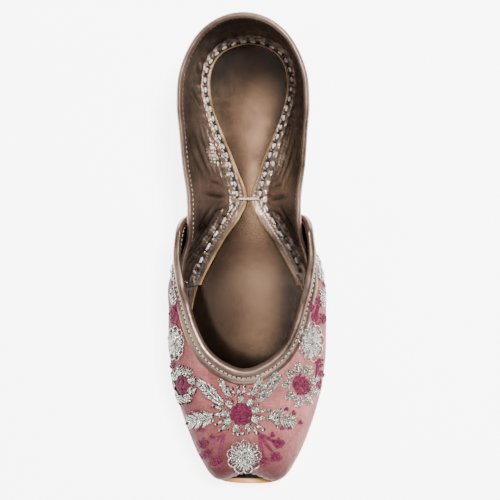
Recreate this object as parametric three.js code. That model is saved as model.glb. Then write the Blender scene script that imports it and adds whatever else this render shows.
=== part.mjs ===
// Mojari shoe: a straight-lasted embroidered slipper of leather and silk, for either foot.
// Millimetres, +Z up, heel towards +Y, toe towards -Y. The floor is z = 0.
import * as THREE from 'three';

// Driving sizes of the whole shoe
const LENGTH = 250;
const SOLE_SEAT_WIDTH = 57;
const SOLE_WAIST_WIDTH = 26.6;
const SOLE_BALL_WIDTH = 82.4;
const RIM_WIDTH = 67;
const RIM_WAIST_WIDTH = 58.6;
const COLLAR_WIDTH = 66;
const HEEL_HEIGHT = 51;
const SIDE_HEIGHT = 41;
const THROAT_HEIGHT = 39;

// Leather thicknesses
const SOLE_THICKNESS = 3.5;
const INSOLE_THICKNESS = 1.5;
const QUARTER_WALL = 1.4;
const VAMP_WALL = 1.8;
const RIM_BINDING_THICKNESS = 0.5;
const COLLAR_BINDING_THICKNESS = 0.9;

// Heel lift, arch and toe of the sole
const LIFT_HEIGHT = 5;
const LIFT_LENGTH = 56;
const LIFT_INSET = 0.8;
const TREAD_START = 140;
const TREAD_END = 204;
const TOE_SPRING = 6;
const SOLE_EDGE_ROUND = 0.5;

// How the upper sits on the sole
const CLEARANCE = 0.3;
const INSOLE_INSET = 0.6;
const UPPER_SETBACK = 0.8;
const TURN_RADIUS = 2.4;
const TOE_NOTCH_DEPTH = 3;
const VAMP_FLANGE_SHARE = 0.24;

// Where the vamp's wings and the quarter's front ends lie, measured from the heel end
const WING_START = 105;
const WING_ROUND = 10;
const WING_FLARE = 3.2;
const OVERLAP_ROOM = 1.3;
const QUARTER_END = 141;
const QUARTER_TUCK = 5;

// Bindings: how far their strips reach over the wall
const BINDING_GAP = 0.42;
const RIM_STRIP = 3.4;
const RIM_LINING_STRIP = 2.6;
const RIM_BEAD_WIDTH = 2.4;
const COLLAR_STRIP = 7;
const COLLAR_LINING_STRIP = 2.4;
const COLLAR_BEAD_WIDTH = 3.4;
const WING_BINDING_FOOT = 0.38;
const LINING_STRIP_SHARE = 0.6;

// Tie thread across the waist
const TIE_AT = 94;
const TIE_DIAMETER = 1.5;
const TIE_SPAN = 10;

// Fineness of the faceted walls
const QUARTER_STEPS = 48;
const VAMP_STEPS = 58;
const FLANGE_ROWS = 1;
const FOLD_ROWS = 3;
const WALL_STEPS = 10;
const WALL_ROWS = FLANGE_ROWS + FOLD_ROWS + WALL_STEPS;
const SOLE_STEPS = 34;
const LIFT_STEPS = 14;
const WING_BINDING_STEPS = 7;

// The ribs run round one side of the shoe, from the middle of the heel to the middle of the toe.
// at: place from the heel end, as a share of the length. half: half width, as a share of the zone's.
// sole: the sole's edge. edge: the raw edge of the turned-in flange. top: the rim or the collar, and
// high: its height, as a share of the zone's height. bulge and shoulder: how far the wall stands out low
// down and high up, in shares of the length. rise and drop: how high those two forms lie on the wall.
// lead: how far the upper form lies from the top towards the sole.
const ZONES = {
  heel: { sole: SOLE_SEAT_WIDTH / 2, top: RIM_WIDTH / 2, high: HEEL_HEIGHT },
  waist: { sole: SOLE_WAIST_WIDTH / 2, top: RIM_WAIST_WIDTH / 2, high: SIDE_HEIGHT },
  ball: { sole: SOLE_BALL_WIDTH / 2, top: COLLAR_WIDTH / 2, high: THROAT_HEIGHT },
};
const RIBS = [
  { zone: 'heel', soleAt: 0.010, sole: 0.00, edgeAt: 0.038, edge: 0.00, topAt: 0.0045, top: 0.00, high: 1.00,
    bulge: 0.006, rise: 0.30, shoulder: 0.000, lead: 0.00, drop: 0.35 },
  { zone: 'heel', soleAt: 0.022, sole: 0.50, edgeAt: 0.050, edge: 0.40, topAt: 0.018, top: 0.40, high: 1.00,
    bulge: 0.006, rise: 0.30, shoulder: 0.000, lead: 0.00, drop: 0.35 },
  { zone: 'heel', soleAt: 0.060, sole: 0.87, edgeAt: 0.078, edge: 0.65, topAt: 0.056, top: 0.725, high: 0.99,
    bulge: 0.007, rise: 0.30, shoulder: 0.000, lead: 0.00, drop: 0.35 },
  { zone: 'heel', soleAt: 0.120, sole: 1.00, edgeAt: 0.124, edge: 0.74, topAt: 0.120, top: 0.95, high: 0.97,
    bulge: 0.009, rise: 0.30, shoulder: 0.000, lead: 0.00, drop: 0.35 },
  { zone: 'heel', soleAt: 0.184, sole: 0.92, edgeAt: 0.184, edge: 0.66, topAt: 0.186, top: 1.00, high: 0.93,
    bulge: 0.012, rise: 0.28, shoulder: 0.002, lead: 0.05, drop: 0.35 },
  { zone: 'heel', soleAt: 0.244, sole: 0.76, edgeAt: 0.244, edge: 0.45, topAt: 0.244, top: 0.97, high: 0.89,
    bulge: 0.015, rise: 0.26, shoulder: 0.004, lead: 0.10, drop: 0.33 },
  { zone: 'waist', soleAt: 0.308, sole: 1.28, edgeAt: 0.308, edge: 0.48, topAt: 0.308, top: 1.07, high: 1.05,
    bulge: 0.018, rise: 0.22, shoulder: 0.006, lead: 0.12, drop: 0.32 },
  { zone: 'waist', soleAt: 0.372, sole: 1.00, edgeAt: 0.372, edge: 0.07, topAt: 0.372, top: 1.00, high: 1.00,
    bulge: 0.020, rise: 0.20, shoulder: 0.006, lead: 0.15, drop: 0.32 },
  { zone: 'waist', soleAt: 0.416, sole: 1.36, edgeAt: 0.416, edge: 0.36, topAt: 0.416, top: 0.99, high: 0.99,
    bulge: 0.020, rise: 0.22, shoulder: 0.008, lead: 0.20, drop: 0.32 },
  { zone: 'waist', soleAt: 0.460, sole: 1.90, edgeAt: 0.460, edge: 0.95, topAt: 0.460, top: 1.01, high: 0.97,
    bulge: 0.020, rise: 0.25, shoulder: 0.012, lead: 0.30, drop: 0.32 },
  { zone: 'ball', soleAt: 0.512, sole: 0.82, edgeAt: 0.512, edge: 0.49, topAt: 0.512, top: 0.955, high: 1.00,
    bulge: 0.026, rise: 0.28, shoulder: 0.018, lead: 0.50, drop: 0.32 },
  { zone: 'ball', soleAt: 0.568, sole: 0.945, edgeAt: 0.568, edge: 0.65, topAt: 0.560, top: 0.93, high: 0.97,
    bulge: 0.026, rise: 0.32, shoulder: 0.019, lead: 0.70, drop: 0.26 },
  { zone: 'ball', soleAt: 0.636, sole: 0.99, edgeAt: 0.628, edge: 0.75, topAt: 0.608, top: 0.865, high: 0.96,
    bulge: 0.022, rise: 0.36, shoulder: 0.016, lead: 0.75, drop: 0.20 },
  { zone: 'ball', soleAt: 0.712, sole: 1.00, edgeAt: 0.700, edge: 0.77, topAt: 0.655, top: 0.755, high: 0.97,
    bulge: 0.020, rise: 0.38, shoulder: 0.012, lead: 0.70, drop: 0.16 },
  { zone: 'ball', soleAt: 0.790, sole: 0.965, edgeAt: 0.770, edge: 0.74, topAt: 0.692, top: 0.61, high: 0.98,
    bulge: 0.014, rise: 0.40, shoulder: 0.008, lead: 0.62, drop: 0.14 },
  { zone: 'ball', soleAt: 0.872, sole: 0.83, edgeAt: 0.845, edge: 0.61, topAt: 0.716, top: 0.43, high: 0.99,
    bulge: 0.008, rise: 0.42, shoulder: 0.006, lead: 0.55, drop: 0.14 },
  { zone: 'ball', soleAt: 0.946, sole: 0.64, edgeAt: 0.908, edge: 0.44, topAt: 0.730, top: 0.25, high: 1.00,
    bulge: 0.005, rise: 0.42, shoulder: 0.004, lead: 0.50, drop: 0.15 },
  { zone: 'ball', soleAt: 0.991, sole: 0.42, edgeAt: 0.945, edge: 0.25, topAt: 0.737, top: 0.12, high: 1.00,
    bulge: 0.003, rise: 0.40, shoulder: 0.002, lead: 0.48, drop: 0.16 },
  { zone: 'ball', soleAt: 1.000, sole: 0.00, edgeAt: 0.955, edge: 0.00, topAt: 0.739, top: 0.00, high: 1.00,
    bulge: 0.002, rise: 0.38, shoulder: 0.000, lead: 0.48, drop: 0.16 },
];
const TOE_RIB = RIBS.length - 1;

const WALL_START_SHARE = 0.4;
const TURN_START_SHARE = 0.22;

// Colours and finishes, as seen on the real materials
const MATERIALS = {
  soleLeather: new THREE.MeshStandardMaterial({ color: 0xd9a868, roughness: 0.6, metalness: 0 }),
  metallicLeather: new THREE.MeshStandardMaterial({ color: 0x94796a, roughness: 0.38, metalness: 0.45 }),
  pinkSilk: new THREE.MeshStandardMaterial({ color: 0xc98f8b, roughness: 0.55, metalness: 0 }),
  whiteCotton: new THREE.MeshStandardMaterial({ color: 0xe9e5de, roughness: 0.85, metalness: 0 }),
};

function smoothStep(from, to, value) {
  const share = Math.min(Math.max((value - from) / (to - from), 0), 1);
  return share * share * (3 - 2 * share);
}

// Reads one column of the ribs in real lengths; a half width changes sign past the heel and the toe.
function columnValue(column, index) {
  const mirrored = index < 0 || index > TOE_RIB;
  const row = index < 0 ? -index : index > TOE_RIB ? 2 * TOE_RIB - index : index;
  const rib = RIBS[row];
  const zone = ZONES[rib.zone];
  if (column === 'sole' || column === 'edge') return (mirrored ? -1 : 1) * rib[column] * zone.sole;
  if (column === 'top') return (mirrored ? -1 : 1) * rib.top * zone.top;
  if (column === 'high') return rib.high * zone.high;
  if (column === 'rise' || column === 'drop' || column === 'lead') return rib[column];
  return rib[column] * LENGTH;
}

// Smooth curve through one column, at any place between two ribs.
function column(name, place) {
  const index = Math.min(Math.floor(place), TOE_RIB - 1);
  const u = place - index;
  const [a, b, c, d] = [-1, 0, 1, 2].map((step) => columnValue(name, index + step));
  return b + 0.5 * u * (c - a + u * (2 * a - 5 * b + 4 * c - d + u * (3 * (b - c) + d - a)));
}

// Height of the sole's underside: level on the lift, an arch, level under the ball, then toe spring.
function soleBottom(y) {
  const at = LENGTH / 2 - y;
  const raised = LIFT_HEIGHT + CLEARANCE;
  const spring = Math.max(at - TREAD_END, 0) / (LENGTH - TREAD_END);
  return raised * (1 - smoothStep(LIFT_LENGTH, TREAD_START, at)) + TOE_SPRING * spring * spring;
}

function soleTop(y) {
  return soleBottom(y) + SOLE_THICKNESS;
}

function insoleTop(y) {
  return soleTop(y) + CLEARANCE + INSOLE_THICKNESS;
}

// A place runs from -TOE_RIB to TOE_RIB: its sign is the shoe's side and 0 is the middle of the heel.
function sideOf(place) {
  return place < 0 ? -1 : 1;
}

// A place past the toe comes back on the other side.
function wrapPlace(place) {
  if (place > TOE_RIB) return place - 2 * TOE_RIB;
  return place < -TOE_RIB ? place + 2 * TOE_RIB : place;
}

function planPoint(place, atName, halfName) {
  const wrapped = wrapPlace(place);
  const rib = Math.abs(wrapped);
  const x = sideOf(wrapped) * column(halfName, rib);
  return new THREE.Vector2(x, LENGTH / 2 - column(atName, rib));
}

// The way out of the shoe at the sole's edge, square to the edge.
function outward(place) {
  const step = 0.02;
  const before = planPoint(place - step, 'soleAt', 'sole');
  const after = planPoint(place + step, 'soleAt', 'sole');
  const along = after.sub(before).normalize();
  return new THREE.Vector2(-along.y, along.x);
}

// Where the vamp starts, the quarter's flange climbs from the insole on to the vamp's flange.
function flangeClimb(at) {
  return (VAMP_WALL + CLEARANCE) * smoothStep(WING_START - 13, WING_START - 2, at);
}

// The vamp is gathered at the middle of the toe and leaves the sole's tip bare.
function toeNotch(rib) {
  return TOE_NOTCH_DEPTH * (smoothStep(TOE_RIB - 1.1, TOE_RIB, rib) + 0.15 * smoothStep(TOE_RIB - 3, TOE_RIB - 1, rib));
}

// The named place whose rib meets the sole's edge this far from the heel end.
function placeAt(at) {
  let low = 0;
  let high = TOE_RIB;
  for (let round = 0; round < 30; round += 1) {
    const middle = (low + high) / 2;
    if (column('soleAt', middle) < at) low = middle;
    else high = middle;
  }
  return (low + high) / 2;
}

const WING_PLACE = placeAt(WING_START);
const WING_ROUND_PLACES = placeAt(WING_START + WING_ROUND) - WING_PLACE;
const QUARTER_END_PLACE = placeAt(QUARTER_END);

// Everything that shapes the upper at one place.
function ribAt(place) {
  const rib = Math.abs(wrapPlace(place));
  const sole = planPoint(place, 'soleAt', 'sole');
  const out = outward(place);
  const climb = flangeClimb(column('soleAt', rib));
  const setback = UPPER_SETBACK + climb + toeNotch(rib);
  const foot = sole.clone().addScaledVector(out, -setback);
  const top = planPoint(place, 'topAt', 'top');
  return { rib, out, climb, foot, top, edge: planPoint(place, 'edgeAt', 'edge') };
}

// The last's surface, which is the quarter's outer face and lies just inside the vamp.
// share 0 is the flange's raw edge, TURN_START_SHARE its fold, WALL_START_SHARE the wall's foot, 1 the top.
function lastPoint(place, share) {
  const { rib, out, climb, foot, top, edge } = ribAt(place);
  const fold = foot.clone().addScaledVector(out, -TURN_RADIUS);
  if (share < TURN_START_SHARE) {
    const point = edge.clone().lerp(fold, share / TURN_START_SHARE);
    return new THREE.Vector3(point.x, point.y, insoleTop(point.y) + CLEARANCE + climb);
  }
  const footLevel = insoleTop(foot.y) + CLEARANCE + climb + TURN_RADIUS;
  if (share < WALL_START_SHARE) {
    const angle = (Math.PI / 2) * ((share - TURN_START_SHARE) / (WALL_START_SHARE - TURN_START_SHARE));
    const point = fold.clone().addScaledVector(out, TURN_RADIUS * Math.sin(angle));
    return new THREE.Vector3(point.x, point.y, footLevel - TURN_RADIUS * Math.cos(angle));
  }
  const u = (share - WALL_START_SHARE) / (1 - WALL_START_SHARE);
  const topLevel = column('high', rib);
  const wall = topLevel - footLevel;
  const low = foot.clone().addScaledVector(out, column('bulge', rib));
  const high = top.clone().lerp(foot, column('lead', rib)).addScaledVector(out, column('shoulder', rib));
  const levels = [footLevel, footLevel + column('rise', rib) * wall, topLevel - column('drop', rib) * wall, topLevel];
  const weights = [(1 - u) ** 3, 3 * u * (1 - u) ** 2, 3 * u * u * (1 - u), u ** 3];
  const point = new THREE.Vector3();
  [foot, low, high, top].forEach((corner, index) => {
    point.x += weights[index] * corner.x;
    point.y += weights[index] * corner.y;
    point.z += weights[index] * levels[index];
  });
  return point;
}

// The last's normal, pointing out of the shoe.
function lastNormal(place, share) {
  const placeStep = 0.02;
  const shareStep = 0.004;
  const along = lastPoint(place + placeStep, share).sub(lastPoint(place - placeStep, share));
  const from = Math.max(share - shareStep, 0);
  const to = Math.min(share + shareStep, 1);
  const up = lastPoint(place, to).sub(lastPoint(place, from));
  return up.cross(along).normalize();
}

function wallShare(share) {
  return Math.max((share - WALL_START_SHARE) / (1 - WALL_START_SHARE), 0);
}

// How far the vamp's inner face stands out from the last: its wings flare from the quarter that they hold.
function vampStandOff(place, share) {
  const at = column('soleAt', Math.abs(wrapPlace(place)));
  const flare = (WING_FLARE - OVERLAP_ROOM) * (1 - smoothStep(WING_START + WING_ROUND, QUARTER_END - 4, at));
  const room = OVERLAP_ROOM * (1 - smoothStep(QUARTER_END + 1, QUARTER_END + 16, at));
  return CLEARANCE + (flare + room) * smoothStep(0, 0.8, wallShare(share));
}

// The quarter's rim dips under the vamp's collar towards its front ends.
function quarterTop(place) {
  const at = column('soleAt', Math.abs(place));
  const dip = QUARTER_TUCK * smoothStep(WING_START, WING_START + 2 * WING_ROUND, at);
  return 1 - (dip / column('high', Math.abs(place))) * (1 - WALL_START_SHARE) * 1.3;
}

// A wing starts later high up, so that its back corner is round.
function wingStart(share) {
  const straight = 0.35;
  const rounded = Math.max((wallShare(share) - straight) / (1 - straight), 0);
  return WING_PLACE + WING_ROUND_PLACES * (1 - Math.sqrt(Math.max(1 - rounded * rounded, 0)));
}

function meshFrom(vertices, triangles) {
  const geometry = new THREE.BufferGeometry();
  geometry.setAttribute('position', new THREE.Float32BufferAttribute(vertices.flatMap((v) => [v.x, v.y, v.z]), 3));
  geometry.setIndex(triangles);
  geometry.computeVertexNormals();
  return geometry;
}

// A closed wall between two faces, each given as a function of two whole numbers.
function wallSolid(rows, columns, innerFace, outerFace) {
  const vertices = [];
  const triangles = [];
  const count = (rows + 1) * (columns + 1);
  [innerFace, outerFace].forEach((face) => {
    for (let i = 0; i <= rows; i += 1) {
      for (let j = 0; j <= columns; j += 1) vertices.push(face(i, j));
    }
  });
  const index = (layer, i, j) => layer * count + i * (columns + 1) + j;
  const quad = (a, b, c, d) => triangles.push(a, b, c, a, c, d);
  for (let i = 0; i < rows; i += 1) {
    for (let j = 0; j < columns; j += 1) {
      quad(index(0, i, j), index(0, i + 1, j), index(0, i + 1, j + 1), index(0, i, j + 1));
      quad(index(1, i, j), index(1, i, j + 1), index(1, i + 1, j + 1), index(1, i + 1, j));
    }
    quad(index(0, i, 0), index(1, i, 0), index(1, i + 1, 0), index(0, i + 1, 0));
    quad(index(0, i, columns), index(0, i + 1, columns), index(1, i + 1, columns), index(1, i, columns));
  }
  for (let j = 0; j < columns; j += 1) {
    quad(index(0, 0, j), index(0, 0, j + 1), index(1, 0, j + 1), index(1, 0, j));
    quad(index(0, rows, j), index(1, rows, j), index(1, rows, j + 1), index(0, rows, j + 1));
  }
  return meshFrom(vertices, triangles);
}

// A bar whose closed section is carried along a path, with flat ends.
function sectionSolid(rings) {
  const size = rings[0].length;
  const triangles = [];
  for (let i = 0; i < rings.length - 1; i += 1) {
    for (let j = 0; j < size; j += 1) {
      const next = (j + 1) % size;
      const [a, b, c, d] = [i * size + j, i * size + next, (i + 1) * size + next, (i + 1) * size + j];
      triangles.push(a, c, b, a, d, c);
    }
  }
  return { vertices: rings.flat(), triangles, size };
}

// A flat plate whose rings run from its lowest to its highest, each from the middle of the heel round to it.
function plateSolid(rings) {
  const { vertices, triangles, size } = sectionSolid(rings);
  const cap = (start, faceDown) => {
    for (let i = 0; i < Math.floor(size / 2); i += 1) {
      const corners = [i, i + 1, size - i - 1, (size - i) % size].map((corner) => start + corner);
      const [a, b, c, d] = faceDown ? corners : corners.reverse();
      if (a !== d) triangles.push(a, c, d);
      if (b !== c) triangles.push(a, b, c);
    }
  };
  cap(0, true);
  cap((rings.length - 1) * size, false);
  return meshFrom(vertices, triangles);
}

// The sole's outline, drawn in by an inset, from the heel along one side to the toe and back.
function outlineRing(inset, levelAt) {
  const ring = [];
  for (let i = 0; i < 2 * SOLE_STEPS; i += 1) {
    const place = wrapPlace((i * TOE_RIB) / SOLE_STEPS);
    const point = planPoint(place, 'soleAt', 'sole').addScaledVector(outward(place), -inset);
    ring.push(new THREE.Vector3(point.x, point.y, levelAt(point.y)));
  }
  return ring;
}

function outsole() {
  return plateSolid([
    outlineRing(SOLE_EDGE_ROUND, soleBottom),
    outlineRing(0, (y) => soleBottom(y) + SOLE_EDGE_ROUND),
    outlineRing(0, (y) => soleTop(y) - SOLE_EDGE_ROUND),
    outlineRing(SOLE_EDGE_ROUND, soleTop),
  ]);
}

function insole() {
  return plateSolid([
    outlineRing(INSOLE_INSET, (y) => soleTop(y) + CLEARANCE),
    outlineRing(INSOLE_INSET, insoleTop),
  ]);
}

// The lift follows the sole's outline round the heel and ends in a straight breast.
function heelLift() {
  const breast = placeAt(LIFT_LENGTH);
  const ring = (level) => {
    const points = [];
    for (let i = 0; i <= 2 * LIFT_STEPS; i += 1) {
      const step = i <= LIFT_STEPS ? i : i - 2 * LIFT_STEPS - 1;
      const place = (step / LIFT_STEPS) * breast;
      const point = planPoint(place, 'soleAt', 'sole').addScaledVector(outward(place), -LIFT_INSET);
      points.push(new THREE.Vector3(point.x, point.y, level));
    }
    return points;
  };
  return plateSolid([ring(0), ring(LIFT_HEIGHT)]);
}

// Rows across a wall: one on the flange, three round the fold and the rest up the wall, closer near its top.
function shareAt(row, firstShare, lastShare) {
  if (row <= FLANGE_ROWS) return firstShare + (TURN_START_SHARE - firstShare) * (row / FLANGE_ROWS);
  if (row <= FLANGE_ROWS + FOLD_ROWS) {
    return TURN_START_SHARE + (WALL_START_SHARE - TURN_START_SHARE) * ((row - FLANGE_ROWS) / FOLD_ROWS);
  }
  const climb = 1 - (1 - (row - FLANGE_ROWS - FOLD_ROWS) / WALL_STEPS) ** 1.25;
  return WALL_START_SHARE + (lastShare - WALL_START_SHARE) * climb;
}

function quarter() {
  const face = (offset) => (i, j) => {
    const place = (2 * (i / QUARTER_STEPS) - 1) * QUARTER_END_PLACE;
    const share = shareAt(j, 0, quarterTop(place));
    return lastPoint(place, share).addScaledVector(lastNormal(place, share), offset);
  };
  return wallSolid(QUARTER_STEPS, WALL_ROWS, face(-QUARTER_WALL), face(0));
}

// The vamp runs from one wing's back edge round the toe to the other's.
function vampPlace(i, steps, share) {
  const start = wingStart(share);
  return start + (i / steps) * 2 * (TOE_RIB - start);
}

function vampPoint(place, share, offset) {
  const normal = lastNormal(place, share);
  return lastPoint(place, share).addScaledVector(normal, vampStandOff(place, share) + offset);
}

function vamp() {
  const firstShare = VAMP_FLANGE_SHARE * TURN_START_SHARE;
  const face = (offset) => (i, j) => {
    const share = shareAt(j, firstShare, 1);
    return vampPoint(vampPlace(i, VAMP_STEPS, share), share, offset);
  };
  return wallSolid(VAMP_STEPS, WALL_ROWS, face(0), face(VAMP_WALL));
}

// A binding's section: 'in' is how far a corner lies from the wall's edge into the wall, 'out' its way out.
function bindingSection(wall, thickness, strip, liningStrip, beadWidth, bends) {
  const near = wall / 2 + BINDING_GAP;
  const far = near + thickness;
  const liningFar = near + LINING_STRIP_SHARE * thickness;
  const bead = thickness * 0.5;
  const nearSide = bends.map((share) => ({ in: strip * share, out: near }));
  const farSide = bends.slice(-1).map((share) => ({ in: strip * share, out: far }));
  return [
    { in: strip, out: near }, { in: strip, out: far }, ...farSide, { in: beadWidth * 0.75, out: far },
    { in: beadWidth * 0.45, out: far + bead * 0.6 }, { in: 0, out: far + bead },
    { in: -beadWidth * 0.32, out: near + bead * 0.4 }, { in: -beadWidth * 0.45, out: 0 },
    { in: -beadWidth * 0.32, out: -near - bead * 0.2 }, { in: 0, out: -liningFar - bead * 0.2 },
    { in: liningStrip, out: -liningFar }, { in: liningStrip, out: -near }, { in: 0, out: -near },
    { in: -BINDING_GAP, out: -near }, { in: -BINDING_GAP, out: near }, { in: 0, out: near }, ...nearSide,
  ];
}

// The changes of place and share that lead one millimetre in a given direction over a wall.
function stepInto(wallPoint, place, share, into) {
  const placeStep = 0.02;
  const shareStep = 0.01;
  const perPlace = wallPoint(place + placeStep, share).sub(wallPoint(place - placeStep, share));
  perPlace.divideScalar(2 * placeStep);
  const perShare = wallPoint(place, share).sub(wallPoint(place, share - shareStep)).divideScalar(shareStep);
  const [a, b, c] = [perPlace.dot(perPlace), perPlace.dot(perShare), perShare.dot(perShare)];
  const [p, q] = [perPlace.dot(into), perShare.dot(into)];
  const size = a * c - b * b;
  return { place: (c * p - b * q) / size, share: (a * q - b * p) / size };
}

// Carries a binding's section along a wall's edge and closes both ends. Its strips follow the wall.
function bindingSolid(steps, edgeAt, wallPoint, section) {
  const rings = [];
  for (let i = 0; i <= steps; i += 1) {
    const { place, share } = edgeAt(i);
    const before = edgeAt(Math.max(i - 0.1, 0));
    const after = edgeAt(Math.min(i + 0.1, steps));
    const along = wallPoint(after.place, after.share).sub(wallPoint(before.place, before.share)).normalize();
    const normal = lastNormal(place, share);
    const into = along.clone().cross(normal).normalize();
    const step = stepInto(wallPoint, place, share, into);
    const edge = wallPoint(place, share);
    rings.push(section.map((corner) => {
      if (corner.in <= 0) return edge.clone().addScaledVector(into, corner.in).addScaledVector(normal, corner.out);
      const [cornerPlace, cornerShare] = [place + corner.in * step.place, share + corner.in * step.share];
      const point = wallPoint(cornerPlace, cornerShare);
      return point.addScaledVector(lastNormal(cornerPlace, cornerShare), corner.out);
    }));
  }
  const { vertices, triangles, size } = sectionSolid(rings);
  const contour = section.map((corner) => new THREE.Vector2(corner.in, corner.out));
  const last = (rings.length - 1) * size;
  THREE.ShapeUtils.triangulateShape(contour, []).forEach(([a, b, c]) => {
    triangles.push(a, b, c);
    triangles.push(last + a, last + c, last + b);
  });
  return meshFrom(vertices, triangles);
}

function rimBinding() {
  const edgeAt = (i) => {
    const place = (1 - (2 * i) / QUARTER_STEPS) * QUARTER_END_PLACE;
    return { place, share: quarterTop(place) };
  };
  const wallPoint = (place, share) => (
    lastPoint(place, share).addScaledVector(lastNormal(place, share), -QUARTER_WALL / 2)
  );
  const section = bindingSection(
    QUARTER_WALL, RIM_BINDING_THICKNESS, RIM_STRIP, RIM_LINING_STRIP, RIM_BEAD_WIDTH, [],
  );
  return bindingSolid(QUARTER_STEPS, edgeAt, wallPoint, section);
}

// The collar binding climbs one wing's back edge, follows the collar and goes down the other wing.
function collarBinding() {
  const steps = VAMP_STEPS + 2 * WING_BINDING_STEPS;
  const edgeAt = (i) => {
    const fromEnd = Math.min(i, steps - i);
    let height = 1;
    if (fromEnd < WING_BINDING_STEPS) {
      const turn = (Math.PI / 2) * (fromEnd / WING_BINDING_STEPS);
      height = WING_BINDING_FOOT + (1 - WING_BINDING_FOOT) * Math.sin(turn);
    }
    const share = WALL_START_SHARE + (1 - WALL_START_SHARE) * height;
    const start = wingStart(share);
    const along = Math.max(fromEnd - WING_BINDING_STEPS, 0) / (VAMP_STEPS / 2);
    const place = start + along * (TOE_RIB - start);
    return { place: i > steps / 2 ? place : 2 * TOE_RIB - place, share };
  };
  const wallPoint = (place, share) => vampPoint(place, share, VAMP_WALL / 2);
  const section = bindingSection(
    VAMP_WALL, COLLAR_BINDING_THICKNESS, COLLAR_STRIP, COLLAR_LINING_STRIP, COLLAR_BEAD_WIDTH, [0.35, 0.65],
  );
  return bindingSolid(steps, edgeAt, wallPoint, section);
}

// A thread lies across the two flanges where they meet.
function waistTie() {
  const y = LENGTH / 2 - TIE_AT;
  const level = insoleTop(y) + 2 * CLEARANCE + flangeClimb(TIE_AT) + QUARTER_WALL + TIE_DIAMETER / 2;
  const path = new THREE.QuadraticBezierCurve3(
    new THREE.Vector3(-TIE_SPAN / 2, y, level),
    new THREE.Vector3(0, y, level + TIE_DIAMETER / 2),
    new THREE.Vector3(TIE_SPAN / 2, y, level),
  );
  const section = new THREE.Shape();
  section.absarc(0, 0, TIE_DIAMETER / 2, 0, 2 * Math.PI);
  return new THREE.ExtrudeGeometry(section, { steps: 8, curveSegments: 5, extrudePath: path, bevelEnabled: false });
}

function part(name, geometry, material) {
  const mesh = new THREE.Mesh(geometry, material);
  mesh.name = name;
  return mesh;
}

const shoe = new THREE.Group();
shoe.add(
  part('heel_lift', heelLift(), MATERIALS.soleLeather),
  part('outsole', outsole(), MATERIALS.soleLeather),
  part('insole', insole(), MATERIALS.metallicLeather),
  part('quarter', quarter(), MATERIALS.metallicLeather),
  part('vamp', vamp(), MATERIALS.pinkSilk),
  part('rim_binding', rimBinding(), MATERIALS.metallicLeather),
  part('collar_binding', collarBinding(), MATERIALS.metallicLeather),
  part('waist_tie', waistTie(), MATERIALS.whiteCotton),
);

export default shoe;
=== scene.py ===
import math

import bmesh
import bpy
import numpy as np
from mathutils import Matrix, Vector
from mathutils.bvhtree import BVHTree


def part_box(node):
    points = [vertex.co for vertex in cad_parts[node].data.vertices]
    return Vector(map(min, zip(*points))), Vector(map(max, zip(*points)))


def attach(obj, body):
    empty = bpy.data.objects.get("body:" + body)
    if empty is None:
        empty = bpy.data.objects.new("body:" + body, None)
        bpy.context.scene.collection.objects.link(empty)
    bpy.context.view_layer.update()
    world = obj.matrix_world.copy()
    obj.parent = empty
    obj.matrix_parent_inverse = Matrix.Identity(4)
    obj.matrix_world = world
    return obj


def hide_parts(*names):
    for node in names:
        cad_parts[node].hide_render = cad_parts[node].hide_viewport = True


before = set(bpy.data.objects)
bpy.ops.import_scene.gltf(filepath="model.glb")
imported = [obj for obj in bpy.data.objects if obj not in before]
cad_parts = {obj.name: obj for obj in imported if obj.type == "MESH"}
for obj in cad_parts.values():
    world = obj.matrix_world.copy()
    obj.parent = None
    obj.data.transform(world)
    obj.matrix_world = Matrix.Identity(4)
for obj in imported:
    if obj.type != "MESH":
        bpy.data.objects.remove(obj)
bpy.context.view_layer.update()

# A mojari, looked at from straight above: lengths are in millimetres until a mesh is made.
MM = 0.001

# The last, in the same named sizes as the solids
LENGTH = 250.0
SOLE_SEAT_WIDTH = 57.0
SOLE_WAIST_WIDTH = 26.6
SOLE_BALL_WIDTH = 82.4
RIM_WIDTH = 67.0
RIM_WAIST_WIDTH = 58.6
COLLAR_WIDTH = 66.0
HEEL_HEIGHT = 51.0
SIDE_HEIGHT = 41.0
THROAT_HEIGHT = 39.0
SOLE_THICKNESS = 3.5
INSOLE_THICKNESS = 1.5
QUARTER_WALL = 1.4
VAMP_WALL = 1.8
LIFT_HEIGHT = 5.0
LIFT_LENGTH = 56.0
LIFT_INSET = 0.8
TREAD_START = 140.0
TREAD_END = 204.0
TOE_SPRING = 6.0
CLEARANCE = 0.3
INSOLE_INSET = 0.6
UPPER_SETBACK = 0.8
TURN_RADIUS = 2.4
TOE_NOTCH_DEPTH = 3.0
VAMP_FLANGE_SHARE = 0.24
WING_START = 105.0
WING_ROUND = 10.0
WING_FLARE = 3.2
OVERLAP_ROOM = 1.3
QUARTER_END = 141.0
QUARTER_TUCK = 5.0
WING_BINDING_FOOT = 0.38
WING_STRAIGHT = 0.35
WALL_START = 0.4
TURN_START = 0.22

SEAT, RIM = SOLE_SEAT_WIDTH / 2, RIM_WIDTH / 2
WAIST, RIM_WAIST = SOLE_WAIST_WIDTH / 2, RIM_WAIST_WIDTH / 2
BALL, COLLAR = SOLE_BALL_WIDTH / 2, COLLAR_WIDTH / 2
ZONES = {
    "heel": (SEAT, RIM, HEEL_HEIGHT),
    "waist": (WAIST, RIM_WAIST, SIDE_HEIGHT),
    "ball": (BALL, COLLAR, THROAT_HEIGHT),
}
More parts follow.
